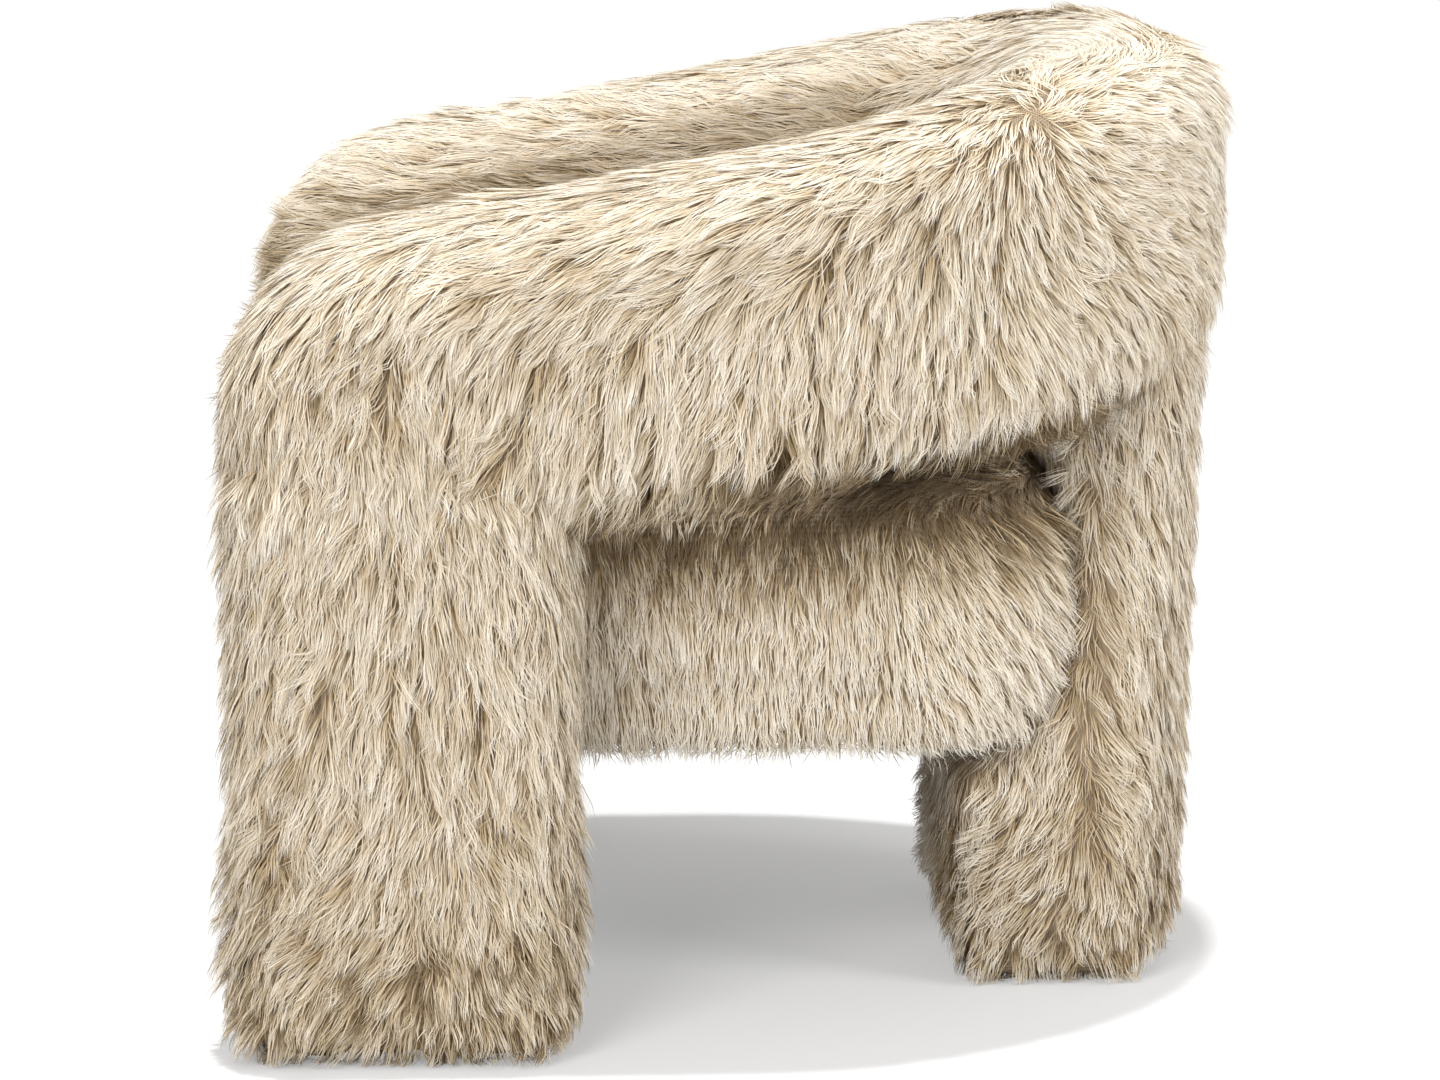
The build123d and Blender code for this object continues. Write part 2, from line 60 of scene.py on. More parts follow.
# %% Sizes shared by every piece
PILE_BED = 0.011          # how far the backing lies under the combed surface of the long pile
SEAT_PILE_BED = 0.007     # the seat's pile is shorter
ARM_THICKNESS = 0.145
BACK_THICKNESS = 0.178
FRONT_UNDERSIDE = 0.335   # underside of the band at its very front
FRONT_TOP = 0.585         # where the top line of the arms would meet the front
UNDERSIDE_SLOPE = math.tan(math.radians(10.8))
TOP_SLOPE = math.tan(math.radians(11.3))
CREST_BLEND = 0.04        # half the length over which the rising top turns level
FOOT_END = 0.005          # the backing of each leg ends this high over the floor
BASE_TOP = 0.028          # just over the base board let into the foot of each leg
DUST_COVER_TOP = 0.211    # just over the dust cover let into the underside of the seat
FRONT_ROUNDING = 0.110    # side-view rounding of each arm's end, above and below
TOE_ROUNDING = 0.065

band_low, band_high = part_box("arm_and_back_cover")
FRONT_Y = band_low.y
BACK_Y = band_high.y
OUTER_X = band_high.x
BAND_TOP = band_high.z
INNER_X = OUTER_X - ARM_THICKNESS
OUTER_BEND_Y = BACK_Y - OUTER_X
INNER_BEND_Y = BACK_Y - BACK_THICKNESS - INNER_X
print("band from", tuple(round(v, 3) for v in band_low), "to", tuple(round(v, 3) for v in band_high))


def underside(y):
    """Height of the band's underside at depth y."""
    return FRONT_UNDERSIDE + (y - FRONT_Y) * UNDERSIDE_SLOPE


def top_line(y):
    """Height of the band's top at depth y: it climbs, then turns level near the back."""
    crest_y = FRONT_Y + (BAND_TOP - FRONT_TOP) / TOP_SLOPE
    climbed = BAND_TOP + (y - crest_y) * TOP_SLOPE
    blend = np.clip((y - crest_y + CREST_BLEND) / (2 * CREST_BLEND), 0, 1)
    rounded = BAND_TOP - TOP_SLOPE * CREST_BLEND * (1 - blend) ** 2
    return np.where(y < crest_y - CREST_BLEND, climbed, rounded)


# %% [markdown]
# An operator works on whatever is selected, so each helper below starts from a clear selection, and each
# finished piece has its place baked into its mesh.

# %% Helpers for modelling
def clear_selection():
    """Leave edit mode and deselect everything."""
    if bpy.context.object and bpy.context.object.mode != "OBJECT":
        bpy.ops.object.mode_set(mode="OBJECT")
    bpy.ops.object.select_all(action="DESELECT")


def activate(obj):
    """Make one object the only selected and active one."""
    clear_selection()
    obj.select_set(True)
    bpy.context.view_layer.objects.active = obj


def settle(obj):
    """Bake an object's place, turn and scale into its mesh."""
    activate(obj)
    bpy.ops.object.transform_apply(location=True, rotation=True, scale=True)


def read(items, name, kind=np.float32):
    """Three numbers for each of a mesh's points or triangles, as an array."""
    values = np.zeros(len(items) * 3, kind)
    items.foreach_get(name, values)
    return values.reshape(-1, 3)


def points_of(obj):
    """The mesh's points as an array."""
    return read(obj.data.vertices, "co").astype(float)


def place_points(obj, points):
    """Move the mesh's points, as a sculptor would."""
    obj.data.vertices.foreach_set("co", points.astype(np.float32).ravel())
    obj.data.update()


def round_edges(obj, test, radius, segments):
    """Bevel the edges whose two end points pass a test."""
    activate(obj)
    bpy.ops.object.mode_set(mode="EDIT")
    bpy.ops.mesh.select_mode(type="EDGE")
    bpy.ops.mesh.select_all(action="DESELECT")
    bpy.ops.object.mode_set(mode="OBJECT")
    for edge in obj.data.edges:
        ends = [obj.data.vertices[i].co for i in edge.vertices]
        edge.select = bool(test(*ends))
    bpy.ops.object.mode_set(mode="EDIT")
    bpy.ops.mesh.bevel(offset=radius, segments=segments, profile=0.5)
    bpy.ops.object.mode_set(mode="OBJECT")


def apply_modifier(obj, kind, **settings):
    """Add one modifier, set it and apply it."""
    activate(obj)
    modifier = obj.modifiers.new(kind.title(), kind)
    for name, value in settings.items():
        setattr(modifier, name, value)
    bpy.ops.object.modifier_apply(modifier=modifier.name)


# %% [markdown]
# Backing and foam behave like a cushion that is slightly too big for its cover. So each rough form is
# remeshed into even squares and blown up a little with Blender's Cloth and some pressure. A cap on how far
# a point may move keeps the chair's shape. The result is applied, so the piece is a plain mesh.

# %% Padding: remesh, inflate and smooth
scene = bpy.context.scene
VOXEL = 0.008
PUFF_FRAMES = 14


def pad_out(obj, cap, pressure=4.0):
    """Turn a rough form into a padded one that has swollen by at most the cap."""
    apply_modifier(obj, "REMESH", mode="VOXEL", voxel_size=VOXEL)
    apply_modifier(obj, "SMOOTH", factor=0.5, iterations=6)
    start = points_of(obj)
    activate(obj)
    cloth = obj.modifiers.new("Cloth", "CLOTH")
    cloth.settings.use_pressure = True
    cloth.settings.uniform_pressure_force = pressure
    cloth.settings.effector_weights.gravity = 0
    cloth.settings.quality = 4
    cloth.collision_settings.use_collision = False
    cloth.point_cache.frame_start = 1
    cloth.point_cache.frame_end = PUFF_FRAMES
    for step in range(1, PUFF_FRAMES + 1):
        scene.frame_set(step)
    evaluated = obj.evaluated_get(bpy.context.evaluated_depsgraph_get())
    puffed = np.array([v.co for v in evaluated.data.vertices], float)
    obj.modifiers.remove(cloth)
    scene.frame_set(1)
    move = puffed - start
    far = np.linalg.norm(move, axis=1, keepdims=True)
    place_points(obj, start + move * np.minimum(1, cap / np.maximum(far, 1e-9)))
    apply_modifier(obj, "SMOOTH", factor=0.5, iterations=3)
    bpy.ops.object.shade_smooth()
    moved = float(np.linalg.norm(points_of(obj) - start, axis=1).max()) * 1000
    print(obj.name, len(obj.data.polygons), "faces, swollen by up to", round(moved, 1), "mm")
    return obj


def press_up(obj, inside, level):
    """Sculpt a shallow recess: points under a level, inside an outline, go up to that level."""
    points = points_of(obj)
    low = inside(points) & (points[:, 2] < level)
    points[low, 2] = level
    place_points(obj, points)
    print(obj.name, "recess of", int(low.sum()), "points")


# %% [markdown]
# The band is one upholstered tube of oblong section that runs forward along both arms and round the back.
# It starts as a plane standing at the left arm's end. That plane is extruded back along the arm, spun round
# the back and extruded forward again. Heights are kept from 0 to 1 until then. The last move stretches
# them between the sloping underside and the climbing top, which no single operator could do.

# %% Plan of the arms and back
ARM_STEPS = 3
BEND_STEPS = 24
BAND_EDGE = 0.044         # rounding of the band's long edges
scene.frame_set(1)
clear_selection()
arm_outer = OUTER_X - PILE_BED
arm_inner = INNER_X + PILE_BED
arm_middle = (arm_outer + arm_inner) / 2
arm_start = FRONT_Y + PILE_BED
bpy.ops.mesh.primitive_plane_add(size=1, location=(arm_middle, arm_start, 0.5),
                                 rotation=(math.pi / 2, 0, 0))
band = bpy.context.object
band.name = "arm_and_back_backing"
bpy.ops.transform.resize(value=(arm_outer - arm_inner, 1, 1))
settle(band)
bpy.ops.object.mode_set(mode="EDIT")
bpy.ops.mesh.select_all(action="SELECT")
arm_step = (OUTER_BEND_Y - arm_start) / ARM_STEPS
for _ in range(ARM_STEPS):
    bpy.ops.mesh.extrude_region_move(TRANSFORM_OT_translate={"value": (0, arm_step, 0)})
bpy.ops.mesh.spin(steps=BEND_STEPS, angle=-math.pi, center=(0, OUTER_BEND_Y, 0), axis=(0, 0, 1))
for _ in range(ARM_STEPS):
    bpy.ops.mesh.extrude_region_move(TRANSFORM_OT_translate={"value": (0, -arm_step, 0)})
bpy.ops.mesh.select_all(action="SELECT")
bpy.ops.mesh.remove_doubles(threshold=0.0005)
bpy.ops.mesh.normals_make_consistent(inside=False)
bpy.ops.object.mode_set(mode="OBJECT")
print("plan of", len(band.data.polygons), "faces")

# %% Heights of the arms and back
points = points_of(band)
radius = np.hypot(points[:, 0], points[:, 1] - OUTER_BEND_Y)
in_bend = np.clip((points[:, 1] - OUTER_BEND_Y) / np.maximum(radius, 1e-6), 0, 1)
is_inner = radius < arm_middle
is_inner |= (points[:, 1] < OUTER_BEND_Y) & (np.abs(points[:, 0]) < arm_middle)
points[:, 1] += np.where(is_inner, (INNER_BEND_Y - OUTER_BEND_Y) * in_bend, 0)
low = underside(points[:, 1]) + PILE_BED
high = top_line(points[:, 1]) - PILE_BED
points[:, 2] = low + (high - low) * points[:, 2]
place_points(band, points)


def across_end(a, b):
    """Whether an edge runs from side to side at the very end of an arm."""
    return max(a.y, b.y) < arm_start + 0.001 and abs(a.x - b.x) > 0.02


round_edges(band, lambda a, b: across_end(a, b) and min(a.z, b.z) > FRONT_TOP - 0.1,
            FRONT_ROUNDING - PILE_BED, 8)
round_edges(band, lambda a, b: across_end(a, b) and max(a.z, b.z) < FRONT_UNDERSIDE + 0.03,
            TOE_ROUNDING - PILE_BED, 6)
apply_modifier(band, "BEVEL", width=BAND_EDGE, segments=5, limit_method="ANGLE", angle_limit=math.radians(40))
pad_out(band, cap=0.005)

# %% [markdown]
# Each front leg is an upright slab. A cube takes its size from the leg's CAD cover, drawn in by the depth
# of the pile, and its upright and lower edges are bevelled before it is padded.

# %% Backing of the front legs
LEG_EDGE = 0.038
LEG_FOOT_EDGE = 0.024
LEG_TOP = 0.44            # inside the band, so the top is never seen


def upright(a, b):
    """Whether an edge stands upright."""
    return abs(a.z - b.z) > 0.02 and (a - b).xy.length < 0.001


def foot_inside(low, high, margin=0.042):
    """Outline of the recess under a leg whose box has these corners."""
    def inside(points):
        return ((points[:, 0] > low.x + margin) & (points[:, 0] < high.x - margin)
                & (points[:, 1] > low.y + margin) & (points[:, 1] < high.y - margin))
    return inside


def front_leg_backing(side):
    """One slab leg, from its CAD cover's box."""
    low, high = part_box(f"{side}_front_leg_cover")
    size = high - low - Vector((2 * PILE_BED, 2 * PILE_BED, 0))
    bottom, top = FOOT_END, LEG_TOP
    clear_selection()
    bpy.ops.mesh.primitive_cube_add(size=1, location=((low.x + high.x) / 2, (low.y + high.y) / 2,
                                                      (bottom + top) / 2))
    leg = bpy.context.object
    leg.name = f"{side}_front_leg_backing"
    bpy.ops.transform.resize(value=(size.x, size.y, top - bottom))
    settle(leg)
    round_edges(leg, upright, LEG_EDGE, 5)
    round_edges(leg, lambda a, b: max(a.z, b.z) < bottom + 0.001, LEG_FOOT_EDGE, 3)
    pad_out(leg, cap=0.004)
    press_up(leg, foot_inside(low, high), BASE_TOP)
    return leg


left_leg = front_leg_backing("left")
right_leg = front_leg_backing("right")

# %% [markdown]
# The rear leg is a block with a ledge. Its lower half reaches forward under the seat. Above the ledge only
# the rear part goes on, up to the band, and its back is bent like the band above it. Its front follows the
# rounded end of the seat, so that no hole opens between them. A subdivided cube is pressed into that shape
# level by level.

# %% Sizes of the rear leg
REAR_LEG_SET_IN = 0.014   # its back lies this far inside the band's back
REAR_LEG_LEAN = 0.013     # and goes this far forward again on the way down
REAR_LEG_TOP = 0.50
LEDGE_STEP = 0.004        # height over which the front turns into the flat ledge
LEDGE_SET_IN = 0.007
SEAT_OVERLAP = 0.008      # the leg's front reaches this far over the end of the seat
SEAT_HEEL = 0.040         # the seat's lower rear edge is drawn in this far, and the leg fills the place
HEEL_HEIGHT = 0.070
SHOULDER = 0.022          # the leg comes forward again over the seat's rounded top edge
SHOULDER_HEIGHT = 0.06
seat_low, seat_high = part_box("seat_cover")
rear_low, rear_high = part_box("rear_leg_cover")
print("ledge at", round(seat_low.z, 3), "m, seat's end at", round(seat_high.y, 3), "m")

# %% Backing of the rear leg
clear_selection()
bpy.ops.mesh.primitive_cube_add(size=1, location=(0, 0, 0.5))
rear_leg = bpy.context.object
rear_leg.name = "rear_leg_backing"
settle(rear_leg)
bpy.ops.object.mode_set(mode="EDIT")
bpy.ops.mesh.select_all(action="SELECT")
bpy.ops.mesh.subdivide(number_cuts=15)
bpy.ops.object.mode_set(mode="OBJECT")
points = points_of(rear_leg)
ledge = seat_low.z
foot_front = rear_low.y + PILE_BED + LEDGE_SET_IN
leg_front = seat_high.y - SEAT_OVERLAP
heights = np.interp(points[:, 2], [0, 0.4, 0.46, 1], [FOOT_END, ledge - LEDGE_STEP, ledge, REAR_LEG_TOP])
half_width = rear_high.x - PILE_BED
across = points[:, 0] * 2 * half_width
front = np.interp(heights, [ledge - LEDGE_STEP, ledge, ledge + HEEL_HEIGHT, seat_high.z - SHOULDER_HEIGHT,
                            seat_high.z],
                  [foot_front, leg_front - SEAT_HEEL, leg_front, leg_front, leg_front - SHOULDER])
bend = OUTER_X - REAR_LEG_SET_IN - PILE_BED
lean = REAR_LEG_LEAN * (1 - heights / REAR_LEG_TOP)
behind = OUTER_BEND_Y - lean + np.sqrt(bend ** 2 - across ** 2)
points[:, 0] = across
points[:, 1] = front + (points[:, 1] + 0.5) * (behind - front)
points[:, 2] = heights
place_points(rear_leg, points)
apply_modifier(rear_leg, "REMESH", mode="VOXEL", voxel_size=VOXEL)
apply_modifier(rear_leg, "SMOOTH", factor=0.5, iterations=5)
pad_out(rear_leg, cap=0.004)
press_up(rear_leg, foot_inside(rear_low, rear_high), BASE_TOP)

# %% [markdown]
# The seat is a thick drum, square between the front legs and round towards the back. Its upright edges are
# bevelled first, the tight front pair less than the rear pair, and then the top and bottom rims. After a
# first remesh its lower rear edge is drawn in a little, like a heel, where the rear leg takes over.

# %% Backing of the seat
HEEL_REACH = 0.1          # how far forward the drawn-in heel is felt
RECESS_MARGIN = 0.075     # the dust cover's recess stays this far inside the seat's box
BARE_MARGIN = 0.070       # and so does the field under the seat that has no pile
clear_selection()
seat_size = seat_high - seat_low - Vector((2, 2, 2)) * SEAT_PILE_BED
seat_middle = (seat_low + seat_high) / 2
bpy.ops.mesh.primitive_cube_add(size=1, location=seat_middle)
seat = bpy.context.object
seat.name = "seat_backing"
bpy.ops.transform.resize(value=seat_size)
settle(seat)
rear_end = seat_middle.y + seat_size.y / 2 - 0.001
top_level = seat_middle.z + seat_size.z / 2 - 0.001
bottom_level = seat_middle.z - seat_size.z / 2 + 0.001
round_edges(seat, lambda a, b: upright(a, b) and a.y < seat_middle.y, 0.083, 6)
round_edges(seat, lambda a, b: upright(a, b) and a.y > rear_end, 0.138, 8)
round_edges(seat, lambda a, b: min(a.z, b.z) > top_level, 0.066, 6)
round_edges(seat, lambda a, b: max(a.z, b.z) < bottom_level, 0.034, 4)
apply_modifier(seat, "REMESH", mode="VOXEL", voxel_size=VOXEL)
points = points_of(seat)
heel = (points[:, 1] - seat_high.y + HEEL_REACH).clip(0, HEEL_REACH) / HEEL_REACH
heel *= 1 - ((points[:, 2] - seat_low.z) / HEEL_HEIGHT).clip(0, 1)
points[:, 1] -= SEAT_HEEL * heel
place_points(seat, points)
pad_out(seat, cap=0.004)
press_up(seat, foot_inside(seat_low, seat_high, RECESS_MARGIN), DUST_COVER_TOP)
backings = [band, left_leg, right_leg, rear_leg, seat]

# %% [markdown]
# Long pile is thousands of soft strands that cling together in pointed locks. Blender's own hair would not
# leave the file as a mesh, so each strand is a thin tapered blade of five triangles. A strand starts on the
# backing, stands up a little and then lies down along the comb direction. The strands of one lock lean
# towards the lock's own path, most of all at the tip, which opens dark gaps between the locks.

# %% Character of the pile
LEVELS = np.array([0.0, 0.36, 0.70])    # places along a strand where its width is set, before the tip
STRAND_WIDTH = 0.0009
FLOOR_GAP = 0.0012                      # no strand goes lower than this
BROAD_BENDS, BROAD_SCALE = 0.20, 26     # slow changes of the comb direction
FINE_BENDS, FINE_SCALE = 0.24, 95       # quick ones, from one lock to the next
LOCK_STRAY, STRAND_STRAY = 0.18, 0.10   # random lean of whole locks and of single strands
LOCK_SWAY, STRAND_SWAY = 0.10, 0.03     # sideways wave, as a share of the length
LOCK_TONE, STRAND_TONE = 0.12, 0.10     # random differences in tone
PATCH_TONE = 0.08                       # and those of broad and small patches
LOCK_RIM_SHADE = 0.22                         # painted shade: a lock gets darker towards its rim
PARTING_PUSH, PARTING_TONE = 0.9, 0.20  # how far a parting turns the pile aside and darkens it
SURFACE_SHARE = 0.6                     # how much a strand is lit like the surface it grows on


# %% Tools for growing pile
def unit(vectors):
    """Vectors scaled to length one."""
    return vectors / np.maximum(np.linalg.norm(vectors, axis=-1, keepdims=True), 1e-9)


def fade(value, start, end):
    """0 before start, 1 after end, and a soft turn between them."""
    t = np.clip((value - start) / (end - start), 0, 1)
    return t * t * (3 - 2 * t)


def wander(points, scale, seed):
    """A soft random field over the surface, from -1 to 1, as three numbers for each point."""
    rng = np.random.default_rng(seed)
    total = np.zeros((len(points), 3))
    for octave in range(3):
        turn = rng.normal(size=(3, 3))
        shift = rng.uniform(0, 6.28, 3)
        total += np.sin(points @ turn.T * (scale * 1.7 ** octave) + shift) / 1.5 ** octave
    return total / 2.1


def surface_of(obj):
    """Corners, corner normals, middles, normals and areas of a mesh's triangles."""
    mesh = obj.data
    mesh.calc_loop_triangles()
    corners = read(mesh.loop_triangles, "vertices", np.int32)
    normals = read(mesh.vertices, "normal").astype(float)
    triangles = points_of(obj)[corners]
    cross = np.cross(triangles[:, 1] - triangles[:, 0], triangles[:, 2] - triangles[:, 0])
    area = np.linalg.norm(cross, axis=1) / 2
    return triangles, normals[corners], triangles.mean(1), unit(cross), area


def uncovered(middles, normals, others, reach=0.012):
    """Which places on a surface aren't buried in another backing."""
    open_air = np.ones(len(middles), bool)
    for tree in others:
        for index in np.flatnonzero(open_air):
            place = Vector(middles[index] + normals[index] * reach)
            near, normal, _, _ = tree.find_nearest(place, 0.25)
            if near is not None and (place - near).dot(normal) < 0.002:
                open_air[index] = False
    return open_air


# %% What lies in the open
surfaces = {obj.name: surface_of(obj) for obj in backings}
trees = {obj.name: BVHTree.FromPolygons([v.co for v in obj.data.vertices],
                                        [tuple(p.vertices) for p in obj.data.polygons]) for obj in backings}
open_air = {}
for obj in backings:
    _, _, middles, flat_normals, area = surfaces[obj.name]
    others = [trees[other.name] for other in backings if other is not obj]
    open_air[obj.name] = uncovered(middles, flat_normals, others)
    share = (area * open_air[obj.name]).sum() / area.sum()
    print(obj.name, round(area.sum(), 2), "m2,", round(100 * share), "% in the open")


# %% Strands into one mesh
def strand_path(roots, normals, comb, length, lift, sway, t):
    """Points at parameter t along strands that rise from the backing and lie down along the comb."""
    rise = lift * t * (1 - 0.45 * t)
    forward = t - 0.10 * lift * t * t
    side = np.cross(comb, normals)
    bend = sway[:, :1] * np.sin(t * 5.0 + sway[:, 1:2]) * t
    return roots + length[:, None] * (comb * forward[:, None] + normals * rise[:, None] + side * bend)


def strand_mesh(name, roots, paths, widths, side, tone, shading):
    """Blades of two quads and a pointed tip, with UVs that hold tone across and length along."""
    count = len(roots)
    rows = []
    for level, path in enumerate(paths[:-1]):
        half = side * (widths[level] / 2)[:, None]
        rows += [path - half, path + half]
    rows.append(paths[-1])
    verts = np.stack(rows, 1)
    per = verts.shape[1]
    base = (np.arange(count) * per)[:, None]
    quads = [base + np.array([2 * k, 2 * k + 1, 2 * k + 3, 2 * k + 2]) for k in range(len(paths) - 2)]
    tip = base + np.array([per - 3, per - 2, per - 1])
    loops = np.concatenate(quads + [tip], 1)
    sizes = np.tile([4] * len(quads) + [3], count)
    starts = np.cumsum(sizes) - sizes
    mesh = bpy.data.meshes.new(name)
    mesh.vertices.add(count * per)
    mesh.vertices.foreach_set("co", verts.astype(np.float32).ravel())
    mesh.loops.add(loops.size)
    mesh.loops.foreach_set("vertex_index", loops.astype(np.int32).ravel())
    mesh.polygons.add(len(sizes))
    mesh.polygons.foreach_set("loop_start", starts.astype(np.int32))
    mesh.update(calc_edges=True)
    mesh.polygons.foreach_set("use_smooth", np.ones(len(sizes), bool))
    along = np.repeat(np.append(LEVELS, 1.0), [2] * len(LEVELS) + [1])
    across = np.array([-1, 1] * len(LEVELS) + [0]) * 0.004      # a narrow strip of the map, never a line
    u = 0.01 + 0.98 * tone[:, None] + across
    v = np.broadcast_to(along, (count, per))
    corner_uv = np.stack([u, v], 2).reshape(-1, 2)[loops.ravel()]
    layer = mesh.uv_layers.new(name="OFBake")
    layer.data.foreach_set("uv", corner_uv.astype(np.float32).ravel())
    mesh.normals_split_custom_set_from_vertices(np.repeat(shading, per, 0))
    obj = bpy.data.objects.new(name, mesh)
    scene.collection.objects.link(obj)
    return obj


# %% Roots and locks
def scatter(rng, backing, count, keep):
    """Random roots on the open part of a backing that keep chooses, with their normals, and its area."""
    triangles, corner_normals, middles, flat_normals, area = surfaces[backing.name]
    weight = area * keep(middles, flat_normals) * open_air[backing.name]
    chosen = rng.choice(len(area), size=count, p=weight / weight.sum())
    spread = rng.dirichlet((1, 1, 1), count)
    roots = (triangles[chosen] * spread[:, :, None]).sum(1)
    normals = unit((corner_normals[chosen] * spread[:, :, None]).sum(1))
    return roots, normals, (area * (weight > 0)).sum()


def gather(rng, roots, lock_size):
    """A leading strand for each lock, and for each strand the lock whose leader stands nearest."""
    lock_count = max(len(roots) // lock_size, 1)
    leaders = rng.choice(len(roots), lock_count, replace=False)
    tree = KDTree(lock_count)
    for index, leader in enumerate(leaders):
        tree.insert(roots[leader], index)
    tree.balance()
    return leaders, np.array([tree.find(root)[1] for root in roots])


# %% Direction of the strands
def parted(away, flow, reach):
    """How strongly places feel a parting, which is a short slit along the comb direction."""
    along = (away * flow).sum(1)
    across = (away ** 2).sum(1) - along ** 2
    return np.exp(-across / (2 * reach ** 2) - along ** 2 / (2 * (2.4 * reach) ** 2))


def combed(places, normals, comb, partings, stray, seed):
    """The comb direction at some places, with its bends and partings."""
    flow = unit(comb(places, normals)) + BROAD_BENDS * stray * wander(places, BROAD_SCALE, seed + 5)
    flow += FINE_BENDS * stray * wander(places, FINE_SCALE, seed + 6)
    for x, y, z, reach in partings:
        away = places - np.array([x, y, z])
        heading = unit(flow)
        strength = parted(away, heading, reach)[:, None]
        away -= heading * (away * heading).sum(1, keepdims=True)
        flow = flow + PARTING_PUSH * unit(away) * strength
    return flow


def laid_flat(flow, normals):
    """Directions laid along the surface, of length one."""
    return unit(flow - normals * (flow * normals).sum(1, keepdims=True))


# %% Tone of the strands
def tones(rng, roots, leaders, member, flow, open_area, darker, partings, seed):
    """A tone from 0 to 1 for each strand: its lock's own, patches, and painted shade towards a lock's rim."""
    lock_tone = rng.normal(0.5, LOCK_TONE, len(leaders))
    broad = wander(roots, 9, seed + 17)[:, 0]
    patchy = wander(roots, 60, seed + 23)[:, 1]
    lock_radius = math.sqrt(open_area / len(leaders) / math.pi)
    off_centre = np.linalg.norm(roots - roots[leaders][member], axis=1) / lock_radius
    tone = lock_tone[member] + rng.normal(0, STRAND_TONE, len(roots)) + PATCH_TONE * broad + PATCH_TONE * patchy
    # painted light at the middle of each lock and painted shade towards its rim
    tone += 0.16 - LOCK_RIM_SHADE * np.minimum(off_centre, 1.5)
    # the piece's painted shade lowers the tone, and its painted light raises it
    tone -= darker
    for x, y, z, reach in partings:
        tone -= PARTING_TONE * parted(roots - np.array([x, y, z]), flow, reach)
    return np.clip(tone, 0, 1)


# %% Grow one piece of pile
def grow(name, backing, count, length, comb, keep, seed, shape, lift=(0.30, 0.66), lock_size=10, clump=0.60,
         partings=(), stray=1.0):
    """Grow one piece of pile on the part of a backing that keep chooses, combed by a function."""
    rng = np.random.default_rng(seed)
    roots, normals, open_area = scatter(rng, backing, count, keep)
    leaders, member = gather(rng, roots, lock_size)
    lock_count = len(leaders)
    lock_flow = combed(roots[leaders], normals[leaders], comb, partings, stray, seed)
    lock_flow += rng.normal(0, LOCK_STRAY * stray, lock_flow.shape)
    flow = combed(roots, normals, comb, partings, stray, seed) * 0.5 + lock_flow[member] * 0.5
    flow += rng.normal(0, STRAND_STRAY, flow.shape)
    flow = laid_flat(flow, normals)
    lock_flow = laid_flat(lock_flow, normals[leaders])

    # darker holds the piece's painted shade, and its painted light where it is negative
    longer, fluffier, darker = shape(roots, normals)
    lock_length = length * rng.uniform(0.8, 1.12, lock_count)
    lengths = lock_length[member] * rng.uniform(0.72, 1.06, count) * longer
    lock_length = lock_length * longer[leaders]
    lock_lift = rng.uniform(*lift, lock_count)
    lifts = lock_lift[member] * rng.uniform(0.75, 1.15, count) * fluffier
    lock_lift = lock_lift * fluffier[leaders]
    lock_sway = np.stack([rng.normal(0, LOCK_SWAY, lock_count), rng.uniform(0, 6.28, lock_count)], 1)
    sway = lock_sway[member] + np.stack([rng.normal(0, STRAND_SWAY, count), rng.normal(0, 0.5, count)], 1)
    pull = clump * rng.uniform(0.55, 1.15, lock_count)[member]

    paths = []
    for t in list(LEVELS) + [1.0]:
        own = strand_path(roots, normals, flow, lengths, lifts, sway, t)
        lead = strand_path(roots[leaders], normals[leaders], lock_flow, lock_length, lock_lift, lock_sway, t)
        own += (lead[member] - own) * (pull * t ** 1.2)[:, None]
        own[:, 2] = np.maximum(own[:, 2], FLOOR_GAP)
        paths.append(own)
    heading = unit(paths[-1] - paths[0])
    across = unit(np.cross(heading, normals))
    roll = rng.normal(0, 0.45, count)[:, None]
    side = across * np.cos(roll) + np.cross(heading, across) * np.sin(roll)
    thick = STRAND_WIDTH * rng.uniform(0.7, 1.3, count)
    widths = [thick, thick * 0.85, thick * 0.55]
    tone = tones(rng, roots, leaders, member, flow, open_area, darker, partings, seed)
    shading = unit((1 - SURFACE_SHARE) * unit(np.cross(side, heading)) + SURFACE_SHARE * normals)
    print(name, count, "strands in", lock_count, "locks,", 5 * count, "triangles")
    return strand_mesh(name, roots, paths, widths, side, tone, shading)


# %% [markdown]
# The comb direction is a small function for each form. On the band the pile runs forward along both arms
# from a crown at each rear corner, and falls as it comes down the outside. A place on the bend is told by
# its turn, which is 0 at the start of the bend and a quarter turn in the middle of the back.

# %% Places on the band
CROWN = np.array([0.300, 0.215, 0.678])
CROWN_REACH = 0.045
CROWN_TURN = math.atan2(CROWN[1] - OUTER_BEND_Y, CROWN[0])
RIGHT_CROWN_DROP = 0.13   # the right arm's crown lies lower than the left arm's


def height_on_band(places):
    """0 at the band's underside and 1 at its top."""
    return (places[:, 2] - underside(places[:, 1])) / (top_line(places[:, 1]) - underside(places[:, 1]))


def outer_face(places, normals):
    """1 where the band's surface faces outwards, -1 where it faces the person sitting."""
    out = np.stack([places[:, 0], np.maximum(places[:, 1] - OUTER_BEND_Y, 0), np.zeros(len(places))], 1)
    return (unit(out) * normals).sum(1)


